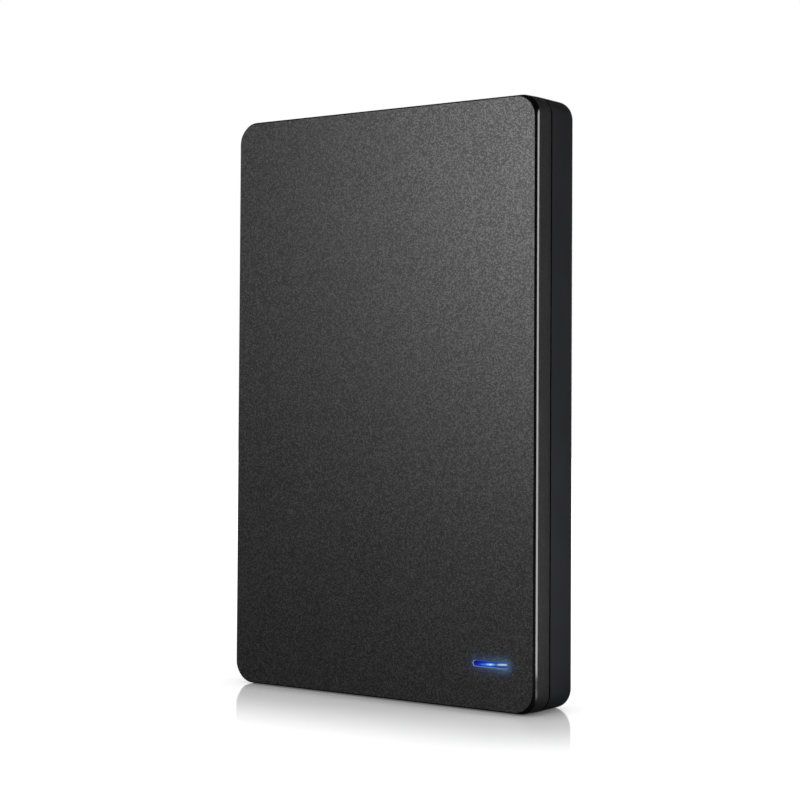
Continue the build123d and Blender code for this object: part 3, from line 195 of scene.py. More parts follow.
# %% Profile of the rim and the wall
WALL_CORNER = 4.0 * MM
FACE_CORNER = 4.2 * MM
FACE_INSET = 0.56 * MM
RIM_INSET = 0.27 * MM
RIM_CORNER = WALL_CORNER + (FACE_CORNER - WALL_CORNER) * RIM_INSET / FACE_INSET
RIM_STEP = 0.58 * MM
RIM_DEPTH = 1.05 * MM
RIM_BENDS = (0.05 * MM, 0.04 * MM)
WALL_LEAN = 0.12 * MM
WALL_START = RIM_DEPTH + 0.05 * MM
WALL_BEND = 0.08 * MM
FRONT_SIDE = 5.15 * MM
LIP_INSET = 1.0 * MM
LIP_CORNER = WALL_CORNER - LIP_INSET
CRISP = 0.012 * MM
rim_points = [(FACE_INSET, 0, FACE_CORNER), (RIM_INSET, RIM_STEP, RIM_CORNER),
              (WALL_LEAN, RIM_DEPTH, WALL_CORNER), (WALL_LEAN, WALL_START, WALL_CORNER)]
wall_points = [(WALL_LEAN, WALL_START + CRISP, WALL_CORNER), (0, FRONT_SIDE, WALL_CORNER),
               (LIP_INSET, FRONT_SIDE, LIP_CORNER)]
rim_chain = rounded_chain(rim_points, RIM_BENDS, steps=5)
wall_chain = rounded_chain(wall_points, [WALL_BEND], steps=5)
print("profile rows of rim and wall:", len(rim_chain), len(wall_chain))

# %% Profile of the lip and the inside
LIP_END = 6.75 * MM
LIP_BEND = 0.06 * MM
INNER_INSET = 1.8 * MM
INNER_CORNER = WALL_CORNER - INNER_INSET
INNER_FACE = 1.5 * MM
lip_points = [(LIP_INSET, FRONT_SIDE + CRISP, LIP_CORNER), (LIP_INSET, LIP_END, LIP_CORNER),
              (INNER_INSET, LIP_END, INNER_CORNER), (INNER_INSET, INNER_FACE, INNER_CORNER)]
lip_chain = rounded_chain(lip_points, [LIP_BEND, LIP_BEND], steps=4)
print("profile rows of the lip:", len(lip_chain))

# %% [markdown]
# ## The slot for the light
# The face has one opening, a slot with round ends. A boolean could cut it, but it leaves long thin
# triangles that shade badly. The walk that draws the case draws the slot as well, so both have the same
# number of points in a turn. The face is then the blend from the slot to its outer edge, with no loose
# border and no stray triangles.

# %% Slot and face
SLOT_MIDDLE = (27.45 * MM, 9.27 * MM)
SLOT_LENGTH_HALF = 4.15 * MM
SLOT_RADIUS = 0.65 * MM
SLOT_BEND = 0.08 * MM
SLOT_FLARE = 2 * SLOT_BEND
FACE_SPREAD = np.array([0.05, 0.3, 0.7, 0.95, 1.0])[:, None, None]
slot_points = [(0, INNER_FACE, SLOT_RADIUS), (0, 0, SLOT_RADIUS),
               (-SLOT_FLARE, 0, SLOT_RADIUS + SLOT_FLARE)]
slot_chain = rounded_chain(slot_points, [SLOT_BEND], steps=5)
slot_rows = round_rings(SLOT_MIDDLE, (SLOT_LENGTH_HALF, SLOT_RADIUS), *slot_chain.T)
face_edge = round_rings(CASE_MIDDLE, CASE_HALF, FACE_INSET + CRISP, 0, FACE_CORNER)
face_rows = slot_rows[-1:] * (1 - FACE_SPREAD) + face_edge * FACE_SPREAD
print("rows of slot and face:", len(slot_rows), len(face_rows))

# %% All rows of the shell
GRAINED = 1.0
SMOOTH = 0.0
rim_rows, wall_rows, lip_rows = (round_rings(CASE_MIDDLE, CASE_HALF, *chain.T)
                                 for chain in (rim_chain, wall_chain, lip_chain))
sections = [(slot_rows, GRAINED), (face_rows, GRAINED), (rim_rows, SMOOTH), (wall_rows, GRAINED),
            (lip_rows, SMOOTH)]
shell_rows = np.concatenate([rows for rows, _ in sections])
shell_grain = np.concatenate([np.full(len(rows), grain) for rows, grain in sections])
shell_quads = wrapped_quads(*shell_rows.shape[:2])
print("shell grid:", shell_rows.shape[:2])

# %% [markdown]
# ## Posts and snaps inside
# Behind the face two hollow posts press on the circuit board, and small wedges on the lip snap into the
# rear cover. They are seen only when the case is open, but they belong to the moulding. A cylinder and a
# cube could be placed by hand for each one. Here a post is a profile turned about its axis and a snap is
# a wedge set down ten times, so they follow the sizes of the cover.

# %% Posts
POST_MIDDLES = np.array([(-23.5, 5.3), (28.45, 3.8)]) * MM
POST_RADIUS = 1.9 * MM
POST_END = 10.7 * MM
BORE_RADIUS = 0.9 * MM
BORE_END = POST_END - 1.3 * MM
ROOT = 0.2 * MM


def post_points(steps):
    """Both posts: a closed profile of radius and depth, turned once about each post's axis.

    A point of the plan is the post's middle + radius * (cosine, sine) of the turn.
    """
    root = INNER_FACE - ROOT
    profile = np.array([(POST_RADIUS, root), (POST_RADIUS, POST_END), (BORE_RADIUS, POST_END),
                        (BORE_RADIUS, BORE_END), (CRISP, BORE_END), (CRISP, root)])
    turn = np.arange(steps) * 2 * np.pi / steps
    circle = np.stack([np.cos(turn), np.sin(turn)], axis=-1)
    plan = POST_MIDDLES[:, None, None, :] + profile[None, :, None, :1] * circle
    return set_depth(plan, profile[None, :, None, 1:])


posts = post_points(steps=32)
print("posts:", len(posts))

# %% Snaps
SNAP_PROUD = 0.35 * MM
SNAP_TALL = 0.6 * MM
SNAP_LENGTH_HALF = 3.0 * MM
SNAP_FACINGS = [(1, 0), (-1, 0), (0, 1), (0, -1)]
LONG_SIDE_STEPS = np.array((-36, 0, 36)) * MM
END_STEPS = np.array((-22, 22)) * MM
SNAP_QUADS = np.array([(0, 1, 2, 3), (7, 6, 5, 4), (0, 4, 5, 1), (1, 5, 6, 2), (2, 6, 7, 3), (3, 7, 4, 0)])


def snap_points():
    """Wedges on the lip: the corners of one, turned to face each side and moved to its place.

    A corner at (out, depth, along) lands in the plan at middle + (reach + out) * facing + (step + along) *
    turned, where turned is facing turned by 90 degrees.
    """
    start = LIP_END - SNAP_TALL
    section = np.array([(-ROOT, LIP_END), (0, LIP_END), (SNAP_PROUD, start), (-ROOT, start)])
    ends = (-SNAP_LENGTH_HALF, SNAP_LENGTH_HALF)
    corners = np.concatenate([np.insert(section, 2, end, axis=1) for end in ends])
    steps = [LONG_SIDE_STEPS, LONG_SIDE_STEPS, END_STEPS, END_STEPS]
    facing = np.repeat(SNAP_FACINGS, [len(row) for row in steps], axis=0).astype(float)
    turned = np.stack([-facing[:, 1], facing[:, 0]], axis=-1)
    reach = np.abs(facing) @ (np.array(CASE_HALF) - LIP_INSET)
    plan = np.array(CASE_MIDDLE) + facing * reach[:, None] + turned * np.concatenate(steps)[:, None]
    plan = plan[:, None] + corners[None, :, :1] * facing[:, None] + corners[None, :, 2:] * turned[:, None]
    return set_depth(plan, corners[None, :, 1:2])


snaps = snap_points()
print("snaps:", len(snaps))

# %% [markdown]
# ## One mesh for the moulding
# Shell, posts and snaps come out of one mould, so they become one mesh, which takes the place of the plain
# solid cover. A number stored at each point, 1 on the grain and 0 elsewhere, tells the material where the
# grain ends. A painted mask could do that too, but it would need an unwrapped mesh and a picture file.

# %% Build the front cover


def put_mask(piece, name, values):
    """A number at each point of a piece, which a material can read by its name."""
    mask = piece.data.attributes.new(name, "FLOAT", "POINT")
    mask.data.foreach_set("value", np.ascontiguousarray(values, dtype=np.float32))


islands = [(shell_rows.reshape(-1, 3), shell_quads)]
islands += [(post.reshape(-1, 3), wrapped_quads(*post.shape[:2])) for post in posts]
islands += [(snap, SNAP_QUADS) for snap in snaps]
front_shell = put_mesh("front_shell", islands, "case", "front_cover")
shell_mask = np.repeat(shell_grain, shell_rows.shape[1])
inner_mask = np.full(posts.size // 3 + snaps.size // 3, SMOOTH)
put_mask(front_shell, "grained", np.concatenate([shell_mask, inner_mask]))

# %% [markdown]
# ## Node helpers
# A material is a small network. These helpers place a node, set its plain values and join sockets, so
# that each material below reads as a list of what feeds what.

# %% Node helpers


def add_node(tree, kind, values=None, **settings):
    """A node of a kind, with its settings and the plain values of its inputs."""
    node = tree.nodes.new(kind)
    for name, value in settings.items():
        setattr(node, name, value)
    for name, value in (values or {}).items():
        node.inputs[name].default_value = value
    return node


def join(tree, source, target):
    """A wire from an output socket to an input socket."""
    tree.links.new(source, target)


def calculate(tree, operation, first, second=None, clamp=False):
    """The output of a Math node on sockets or plain numbers."""
    node = add_node(tree, "ShaderNodeMath", operation=operation, use_clamp=clamp)
    for place, value in enumerate((first, second)):
        if hasattr(value, "links"):
            join(tree, value, node.inputs[place])
        elif value is not None:
            node.inputs[place].default_value = value
    return node.outputs[0]


def map_range(tree, value, start, stop, low=0.0, high=1.0, smooth=False):
    """A value that runs from low to high while a socket runs from start to stop, and no further."""
    limits = {"From Min": start, "From Max": stop, "To Min": low, "To Max": high}
    curve = "SMOOTHSTEP" if smooth else "LINEAR"
    node = add_node(tree, "ShaderNodeMapRange", limits, interpolation_type=curve)
    join(tree, value, node.inputs["Value"])
    return node.outputs["Result"]


# %% [markdown]
# ## Moulded grain
# The face is not painted: its grain was etched into the steel mould, and the plastic copies it as round
# grains with narrow valleys. Some grains end in a small polished facet, and those sparkle. A picture of
# grain would have to be read from a file. The cells of a Voronoi pattern give the grains instead: one
# chance number of a cell sets its height, and another says whether it has a facet. Several materials use
# the grain, so it is a group with its own sockets.

# %% The grain group
LOWEST_GRAIN = 0.35
FACET_CHANCE = (0.55, 0.75)


def new_group(name, amount, outputs):
    """An empty node group, where a place and an amount go in and numbers come out, and its end nodes."""
    tree = bpy.data.node_groups.new(name, "ShaderNodeTree")
    tree.interface.new_socket("Vector", in_out="INPUT", socket_type="NodeSocketVector")
    tree.interface.new_socket(amount, in_out="INPUT", socket_type="NodeSocketFloat")
    for socket in outputs:
        tree.interface.new_socket(socket, in_out="OUTPUT", socket_type="NodeSocketFloat")
    return tree, tree.nodes.new("NodeGroupInput"), tree.nodes.new("NodeGroupOutput")


def make_grain_group():
    """Height and sparkle of an etched grain, both from the cells of one pattern.

    The height is one minus the distance from the cell's middle, times a chance level of the cell. The
    sparkle is 1 where another chance number of the cell is high, and 0 in more than half of the cells.
    """
    tree, start, end = new_group("moulded_grain", "Grains Per Metre", ["Height", "Sparkle"])
    cells = add_node(tree, "ShaderNodeTexVoronoi")
    join(tree, start.outputs["Vector"], cells.inputs["Vector"])
    join(tree, start.outputs["Grains Per Metre"], cells.inputs["Scale"])
    chance = add_node(tree, "ShaderNodeSeparateColor")
    join(tree, cells.outputs["Color"], chance.inputs["Color"])
    domes = calculate(tree, "SUBTRACT", 1.0, cells.outputs["Distance"], clamp=True)
    level = map_range(tree, chance.outputs["Green"], 0, 1, LOWEST_GRAIN, 1)
    join(tree, calculate(tree, "MULTIPLY", domes, level), end.inputs["Height"])
    join(tree, map_range(tree, chance.outputs["Red"], *FACET_CHANCE), end.inputs["Sparkle"])
    return tree


moulded_grain = make_grain_group()
print("group:", moulded_grain.name, [item.name for item in moulded_grain.interface.items_tree])

# %% [markdown]
# ## Handling marks
# Even a new drive has been touched: the gloss changes a little from place to place. A smudge could be
# painted by hand, but it would serve one piece only. A slow noise gives soft patches anywhere, which
# shift the roughness of most finishes here.

# %% The handling group
PATCH_RANGE = (0.3, 0.7)


def make_handling_group():
    """Soft patches from 0 to 1: the middle range of a slow noise, stretched to both ends."""
    tree, start, end = new_group("handling_marks", "Patches Per Metre", ["Patches"])
    noise = add_node(tree, "ShaderNodeTexNoise", {"Detail": 4.0, "Roughness": 0.55, "Distortion": 0.4})
    join(tree, start.outputs["Vector"], noise.inputs["Vector"])
    join(tree, start.outputs["Patches Per Metre"], noise.inputs["Scale"])
    join(tree, map_range(tree, noise.outputs["Fac"], *PATCH_RANGE), end.inputs["Patches"])
    return tree


handling_marks = make_handling_group()
print("group:", handling_marks.name, [item.name for item in handling_marks.interface.items_tree])

# %% [markdown]
# ## Lines, turns and tracks
# Four more patterns serve the metal, wire and board pieces inside. Brushed steel is a noise stretched
# along one direction. A platter has very fine rings round its axis. A coil shows its wire turns as bands.
# A board shows its copper tracks through the lacquer as a net of thin lines. Real lines, rings and turns
# would take millions of faces, so each one is a texture that gives a height.

# %% Pattern groups
# A wave texture of scale 1 draws this many waves in one unit of length.
WAVES_PER_UNIT = 20 / (2 * np.pi)
LINE_STRETCH = (0.03, 1, 1)


def make_pattern_group(name, amount, texture, values, stretch=(1, 1, 1), pace=1.0, **settings):
    """A group round one texture: place times stretch goes in, amount times pace sets its scale."""
    tree, start, end = new_group(name, amount, ["Height"])
    stretched = add_node(tree, "ShaderNodeMapping", {"Scale": stretch})
    join(tree, start.outputs["Vector"], stretched.inputs["Vector"])
    pattern = add_node(tree, texture, values, **settings)
    join(tree, stretched.outputs["Vector"], pattern.inputs["Vector"])
    join(tree, calculate(tree, "MULTIPLY", start.outputs[amount], pace), pattern.inputs["Scale"])
    join(tree, pattern.outputs["Fac"], end.inputs["Height"])
    return tree


brushed_lines = make_pattern_group("brushed_lines", "Lines Per Metre", "ShaderNodeTexNoise",
                                   {"Detail": 3.0}, stretch=LINE_STRETCH)
fine_rings = make_pattern_group("fine_rings", "Rings Per Metre", "ShaderNodeTexWave", {"Distortion": 0.6},
                                pace=1 / WAVES_PER_UNIT, wave_type="RINGS", rings_direction="Y")
wound_turns = make_pattern_group("wound_turns", "Turns Per Metre", "ShaderNodeTexWave", {"Distortion": 0.3},
                                 pace=1 / WAVES_PER_UNIT, bands_direction="Y")
board_tracks = make_pattern_group("board_tracks", "Tracks Per Metre", "ShaderNodeTexBrick",
                                  {"Mortar Size": 0.03, "Row Height": 0.4, "Brick Width": 1.7})
print("pattern groups:", [group.name for group in (brushed_lines, fine_rings, wound_turns, board_tracks)])

# %% [markdown]
# ## Material helpers
# A finish is a Principled shader. What is the same all over a piece is set on the shader's own sockets,
# and what changes over the surface is joined to them. Patterns are drawn on object coordinates, so no
# piece has to be unwrapped first.

# %% Material helpers
# A Mix node has a set of sockets for each kind of value, and these are the ones for colours.
MIX_COLOURS = (6, 7)
MIX_RESULT = 2


def new_material(name, values):
    """A material with a Principled shader, its plain values, and object coordinates to draw patterns on."""
    material = bpy.data.materials.new(name)
    material.use_nodes = True
    tree = material.node_tree
    shader = tree.nodes["Principled BSDF"]
    for socket, value in values.items():
        shader.inputs[socket].default_value = value
    place = add_node(tree, "ShaderNodeTexCoord").outputs["Object"]
    return material, tree, shader, place


def place_group(tree, group, vector, per_metre):
    """A group inside a material, with its own amount."""
    node = add_node(tree, "ShaderNodeGroup", node_tree=group)
    join(tree, vector, node.inputs["Vector"])
    node.inputs[1].default_value = per_metre
    return node


def blend_colours(tree, factor, low, high):
    """A colour between two colours, by a factor socket."""
    node = add_node(tree, "ShaderNodeMix", data_type="RGBA")
    join(tree, factor, node.inputs["Factor"])
    for place, colour in zip(MIX_COLOURS, (low, high)):
        if hasattr(colour, "links"):
            join(tree, colour, node.inputs[place])
        else:
            node.inputs[place].default_value = (*colour, 1)
    return node.outputs[MIX_RESULT]


def add_bump(tree, shader, height, depth):
    """Relief on a surface: a height from 0 to 1 stands for a depth in metres."""
    bump = add_node(tree, "ShaderNodeBump", {"Distance": depth, "Strength": 1.0})
    join(tree, height, bump.inputs["Height"])
    join(tree, bump.outputs["Normal"], shader.inputs["Normal"])


# %% [markdown]
# ## Face plastic
# One moulding has two finishes: grain on the face and side, and a polished rim. Two materials would repeat
# most of their nodes, so one material reads the mask stored with the mesh. The facets of the grain are a
# clear coat that has weight on those cells of the face alone, so they shine under the soft box while the
# plastic between them stays dull. The cells with a facet, on the face and the side, are also painted a
# lighter grey, a painted glint beside that real gloss. Next to the light slot the black plastic gets a
# painted glow: emission for the little light that comes through it, deep blue on the left and paler on the
# right. This painted glow falls off with the distance from the middle line of the slot.

# %% Distance from the slot


def calculate_vector(tree, operation, first, second=(0, 0, 0), output="Vector"):
    """An output of a Vector Math node on a vector socket and a plain vector."""
    node = add_node(tree, "ShaderNodeVectorMath", operation=operation)
    join(tree, first, node.inputs[0])
    node.inputs[1].default_value = second
    return node.outputs[output]


def split_vector(tree, vector):
    """The sockets of the X, Y and Z parts of a vector socket."""
    node = add_node(tree, "ShaderNodeSeparateXYZ")
    join(tree, vector, node.inputs["Vector"])
    return node.outputs


def slot_distance(tree, place):
    """Distance from the straight middle line of the light slot, and the place relative to its middle.

    Along x the distance counts only past the half length h of that line: max(|x| - h, 0). With the
    height z it makes the length of a flat vector. The y part of the place is the depth from the face.
    """
    moved = calculate_vector(tree, "SUBTRACT", place, (SLOT_MIDDLE[0], FACE_Y, SLOT_MIDDLE[1]))
    parts = split_vector(tree, moved)
    across = calculate(tree, "ABSOLUTE", parts["X"])
    past = calculate(tree, "SUBTRACT", across, SLOT_LENGTH_HALF - SLOT_RADIUS)
    past = calculate(tree, "MAXIMUM", past, 0.0)
    squares = [calculate(tree, "MULTIPLY", part, part) for part in (past, parts["Z"])]
    return calculate(tree, "SQRT", calculate(tree, "ADD", *squares)), parts


# %% Face plastic
PLASTIC_IOR = 1.5
FACE_GRAINS = 5200
GRAIN_DARK = (0.009, 0.009, 0.009)
PAINTED_GLINT_GREY = (0.026, 0.026, 0.027)
GRAIN_DEPTH = 0.014 * MM
GRAIN_ROUGH = 0.37
POLISH_BLACK = (0.002, 0.002, 0.0022)
POLISH_ROUGH = 0.12
WALL_ROUGHER = 0.04
WALL_FADE = 0.1 * RIM_DEPTH
FACE_PATCHES = 45
PATCH_ROUGHER = (-0.01, 0.02)
GLOW_REACH = 3.0 * MM
GLOW_POWER = 3.3
GLOW_LEFT = (0.006, 0.014, 0.055)
GLOW_RIGHT = (0.030, 0.080, 0.170)
NO_GLOW = (0, 0, 0)
FACE_VALUES = {"IOR": PLASTIC_IOR, "Coat Roughness": GRAIN_ROUGH, "Emission Strength": 1.0}


def make_face_plastic():
    """Black plastic: etched grain with painted glints where the mask is 1, polish where it is 0, and a
    painted blue halo.
    """
    material, tree, shader, place = new_material("face_plastic", FACE_VALUES)
    mask = add_node(tree, "ShaderNodeAttribute", attribute_name="grained").outputs["Fac"]
    grain = place_group(tree, moulded_grain, place, FACE_GRAINS)
    marks = place_group(tree, handling_marks, place, FACE_PATCHES)
    distance, parts = slot_distance(tree, place)
    # Cells with a facet get a lighter base colour besides their coat: a painted glint.
    grain_and_painted_glint = blend_colours(tree, grain.outputs["Sparkle"], GRAIN_DARK, PAINTED_GLINT_GREY)
    join(tree, blend_colours(tree, mask, POLISH_BLACK, grain_and_painted_glint), shader.inputs["Base Color"])
    rough = map_range(tree, mask, 0, 1, POLISH_ROUGH, GRAIN_ROUGH)
    touched = map_range(tree, marks.outputs["Patches"], 0, 1, *PATCH_ROUGHER)
    wall = map_range(tree, parts["Y"], RIM_DEPTH, RIM_DEPTH + WALL_FADE, 0, WALL_ROUGHER)
    rough = calculate(tree, "ADD", calculate(tree, "ADD", rough, touched), wall)
    join(tree, rough, shader.inputs["Roughness"])
    on_face = calculate(tree, "MULTIPLY", mask, map_range(tree, parts["Y"], RIM_DEPTH, 0))
    facets = calculate(tree, "MULTIPLY", on_face, grain.outputs["Sparkle"])
    join(tree, facets, shader.inputs["Coat Weight"])
    # The halo is a painted glow: emission in the black plastic that fades with the distance from the slot.
    fade = map_range(tree, distance, SLOT_RADIUS, SLOT_RADIUS + GLOW_REACH, 1, 0)
    fade = calculate(tree, "POWER", fade, GLOW_POWER)
    along = map_range(tree, parts["X"], -SLOT_LENGTH_HALF, SLOT_LENGTH_HALF)
    glow = blend_colours(tree, along, GLOW_LEFT, GLOW_RIGHT)
    join(tree, blend_colours(tree, fade, NO_GLOW, glow), shader.inputs["Emission Color"])
    add_bump(tree, shader, calculate(tree, "MULTIPLY", grain.outputs["Height"], mask), GRAIN_DEPTH)
    return material


face_plastic = make_face_plastic()
front_shell.data.materials.append(face_plastic)
print("material:", face_plastic.name, len(face_plastic.node_tree.nodes), "nodes")

# %% [markdown]
# ## The light
# A clear stem leads the light of a small blue lamp on the board up to the slot. The lens is deep blue on
# the left. A bright streak crosses it: it starts low on the left, has its hot spot near the middle, where
# the lamp sits behind it, and runs out thin and pale on the right. The moulded edge shines as an outline,
# palest round the left end. Real light in a clear stem would take very many rays to come out clean. So two
# ramps along the slot give the colours of the lens and of the streak, and distances give the streak and
# the outline.

# %% Colours of the light
LENS_RAMP = [(0.02, (0.001, 0.003, 0.06)), (0.24, (0.002, 0.010, 0.34)), (0.45, (0.006, 0.050, 0.50)),
             (0.68, (0.010, 0.050, 0.24)), (1.00, (0.030, 0.075, 0.20))]
STREAK_RAMP = [(0.18, (0.002, 0.010, 0.34)), (0.38, (0.07, 0.32, 0.85)), (0.50, (0.70, 1.00, 1.00)),
               (0.58, (0.20, 0.50, 0.85)), (0.66, (0.02, 0.08, 0.35)), (0.75, (0.58, 0.76, 0.98)),
               (0.90, (0.58, 0.76, 0.96)), (1.00, (0.05, 0.12, 0.28))]


def colour_ramp(tree, stops, along):
    """Colours along the slot as a ramp node, driven by a place from 0 on the left to 1 on the right."""
    ramp = add_node(tree, "ShaderNodeValToRGB")
    points = ramp.color_ramp.elements
    for point, (position, colour) in zip(points, (stops[0], stops[-1])):
        point.position = position
        point.color = (*colour, 1)
    for position, colour in stops[1:-1]:
        points.new(position).color = (*colour, 1)
    join(tree, along, ramp.inputs["Fac"])
    return ramp.outputs["Color"]


# %% Light pipe
LENS_VALUES = {"IOR": 1.49, "Roughness": 0.15, "Emission Strength": 1.0}
LENS_DARK = (0.004, 0.008, 0.03)
LENS_LIGHT = (0.02, 0.04, 0.10)
STREAK_RISE = 0.065
STREAK_HALF = 0.26 * MM
STREAK_CORE = 0.3 * STREAK_HALF
STREAK_PATCHES = 1600
STREAK_LEVELS = (0.5, 1.0)
EDGE_BAND = (0.68 * SLOT_RADIUS, 0.88 * SLOT_RADIUS)
EDGE_DEEP = (0.02, 0.07, 0.32)
EDGE_PALE = (0.40, 0.50, 0.72)
PALE_END = (0.10, 0.02)
PALE_BOTTOM = (-0.2 * SLOT_RADIUS, -0.9 * SLOT_RADIUS)
BOTTOM_LEVEL = 0.45


def make_light_pipe():
    """Clear plastic lit from within: lens colours, a rising streak over them, and an outline round them.

    The streak is where |z - rise * x| is small. The outline is pale round the left end and less so along
    the bottom, and deep blue along the top.
    """
    material, tree, shader, place = new_material("light_pipe", LENS_VALUES)
    marks = place_group(tree, handling_marks, place, STREAK_PATCHES)
    distance, parts = slot_distance(tree, place)
    along = map_range(tree, parts["X"], -SLOT_LENGTH_HALF, SLOT_LENGTH_HALF)
    off = calculate(tree, "SUBTRACT", parts["Z"], calculate(tree, "MULTIPLY", parts["X"], STREAK_RISE))
    streak = map_range(tree, calculate(tree, "ABSOLUTE", off), STREAK_HALF, STREAK_CORE)
    patchy = map_range(tree, marks.outputs["Patches"], 0, 1, *STREAK_LEVELS)
    streak = calculate(tree, "MULTIPLY", streak, patchy)
    lens, line = (colour_ramp(tree, stops, along) for stops in (LENS_RAMP, STREAK_RAMP))
    bottom = map_range(tree, parts["Z"], *PALE_BOTTOM, 0, BOTTOM_LEVEL)
    pale = calculate(tree, "MAXIMUM", map_range(tree, along, *PALE_END), bottom)
    outline = blend_colours(tree, pale, EDGE_DEEP, EDGE_PALE)
    edge = map_range(tree, distance, *EDGE_BAND)
    light = blend_colours(tree, edge, blend_colours(tree, streak, lens, line), outline)
    join(tree, light, shader.inputs["Emission Color"])
    join(tree, blend_colours(tree, streak, LENS_DARK, LENS_LIGHT), shader.inputs["Base Color"])
    return material


light_pipe = make_light_pipe()
print("material:", light_pipe.name, len(light_pipe.node_tree.nodes), "nodes")

# %% [markdown]
# ## The small lamp on the board
# The light comes from a lamp smaller than two millimetres, soldered to the board under the stem. Its body
# is milky plastic, lit through and not evenly. A lamp object inside would cost render time for light that
# nobody sees, so the material glows by itself, in patches.

# %% Lamp on the board
LED_VALUES = {"Roughness": 0.35, "Emission Strength": 1.5}
LED_MILKY = ((0.5, 0.55, 0.6), (0.7, 0.75, 0.8))
LED_BLUE = ((0.05, 0.2, 0.8), (0.15, 0.4, 1.0))
LED_PATCHES = 1500


def make_led_body():
    """A milky body that glows blue, paler and stronger in some patches."""
    material, tree, shader, place = new_material("led_body", LED_VALUES)
    patches = place_group(tree, handling_marks, place, LED_PATCHES).outputs["Patches"]
    join(tree, blend_colours(tree, patches, *LED_MILKY), shader.inputs["Base Color"])
    join(tree, blend_colours(tree, patches, *LED_BLUE), shader.inputs["Emission Color"])
    return material


led_body = make_led_body()
print("material:", led_body.name, len(led_body.node_tree.nodes), "nodes")

# %% [markdown]
# ## Every other finish
# Each piece of the frame already has a material slot named after its stuff. Writing a function for each
# stuff would say the same thing twenty times. Instead one table lists what each looks like, and one
# function turns a row of the table into a material, so no piece keeps a flat colour. A row holds the
# pattern and its number per metre, a dark and a light colour, how metallic it is, the roughness from and
# to, and the depth of the relief in millimetres.

# %% The table of finishes
FINISHES = {
    "back_plastic": (moulded_grain, 5200, (0.0095, 0.0098, 0.0115), (0.0135, 0.0139, 0.0160), 0,
                     (0.37, 0.43), 0.004),
    "foam": (moulded_grain, 2500, (0.02, 0.02, 0.02), (0.06, 0.06, 0.06), 0, (0.85, 0.95), 0.10),
    "bumper_rubber": (moulded_grain, 4000, (0.015, 0.015, 0.016), (0.03, 0.03, 0.03), 0,
                      (0.60, 0.75), 0.02),
    "board_green": (board_tracks, 420, (0.004, 0.045, 0.018), (0.015, 0.12, 0.05), 0, (0.30, 0.42), 0.02),
    "chip_black": (moulded_grain, 9000, (0.010, 0.010, 0.010), (0.025, 0.025, 0.026), 0,
                   (0.50, 0.62), 0.01),
    "connector_black": (moulded_grain, 6000, (0.008, 0.008, 0.009), (0.018, 0.018, 0.019), 0,
                        (0.40, 0.52), 0.01),
    "plated_steel": (brushed_lines, 5000, (0.42, 0.42, 0.41), (0.58, 0.58, 0.56), 1, (0.22, 0.34), 0.002),
    "gold_contact": (brushed_lines, 6000, (0.62, 0.40, 0.11), (0.82, 0.56, 0.20), 1, (0.18, 0.28), 0.002),
    "part_ceramic": (moulded_grain, 7000, (0.20, 0.14, 0.09), (0.32, 0.23, 0.15), 0, (0.45, 0.60), 0.01),
    "ferrite": (moulded_grain, 6000, (0.03, 0.03, 0.032), (0.07, 0.07, 0.075), 0, (0.50, 0.65), 0.02),
    "cast_metal": (moulded_grain, 3000, (0.36, 0.37, 0.38), (0.52, 0.53, 0.54), 1, (0.42, 0.55), 0.03),
    "cover_metal": (brushed_lines, 3500, (0.50, 0.51, 0.52), (0.64, 0.65, 0.66), 1, (0.26, 0.38), 0.003),
    "gasket_rubber": (moulded_grain, 5000, (0.012, 0.012, 0.012), (0.025, 0.025, 0.025), 0,
                      (0.65, 0.80), 0.02),
    "platter_mirror": (fine_rings, 3000, (0.62, 0.62, 0.63), (0.70, 0.70, 0.71), 1, (0.04, 0.08), 0.0003),
    "machined_metal": (brushed_lines, 6000, (0.55, 0.56, 0.57), (0.68, 0.69, 0.70), 1, (0.24, 0.34), 0.003),
    "bearing_steel": (brushed_lines, 8000, (0.45, 0.45, 0.46), (0.60, 0.60, 0.61), 1, (0.16, 0.26), 0.002),
    "copper_wire": (wound_turns, 7000, (0.34, 0.11, 0.04), (0.72, 0.30, 0.14), 1, (0.28, 0.38), 0.03),
    "magnet_nickel": (moulded_grain, 5000, (0.52, 0.51, 0.48), (0.62, 0.61, 0.58), 1, (0.20, 0.32), 0.004),
    "ramp_plastic": (moulded_grain, 6000, (0.55, 0.52, 0.44), (0.70, 0.67, 0.58), 0, (0.35, 0.48), 0.005),
    "flex_amber": (wound_turns, 2500, (0.30, 0.12, 0.02), (0.55, 0.26, 0.06), 0, (0.28, 0.40), 0.01),
    "filter_felt": (moulded_grain, 3500, (0.55, 0.54, 0.50), (0.80, 0.79, 0.76), 0, (0.85, 0.95), 0.10),
}
print("finishes:", len(FINISHES))

# %% From a row to a material
SPINDLE = sum(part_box("upper_platter"), Vector()) / 2
PIECE_PATCHES = 120


def make_finish(name):
    """A material from one row of the table: pattern into colour and relief, handling into roughness.

    The pattern is centred on the spindle, so the rings of a platter run round its axis.
    """
    pattern, per_metre, dark, light, metallic, rough_range, relief = FINISHES[name]
    material, tree, shader, place = new_material(name, {"Metallic": metallic, "IOR": PLASTIC_IOR})
    centred = add_node(tree, "ShaderNodeMapping", {"Location": -SPINDLE})
    join(tree, place, centred.inputs["Vector"])
    height = place_group(tree, pattern, centred.outputs["Vector"], per_metre).outputs["Height"]
    patches = place_group(tree, handling_marks, place, PIECE_PATCHES).outputs["Patches"]
    join(tree, blend_colours(tree, height, dark, light), shader.inputs["Base Color"])
    join(tree, map_range(tree, patches, 0, 1, *rough_range), shader.inputs["Roughness"])
    add_bump(tree, shader, height, relief * MM)
    return material


# %% Dress every piece of the frame
made = {name: make_finish(name) for name in FINISHES}
made.update(face_plastic=face_plastic, light_pipe=light_pipe, led_body=led_body)
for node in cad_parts.values():
    for place in node.material_slots:
        place.material = made[place.material.name.split(".")[0]]
print("materials:", len(made))

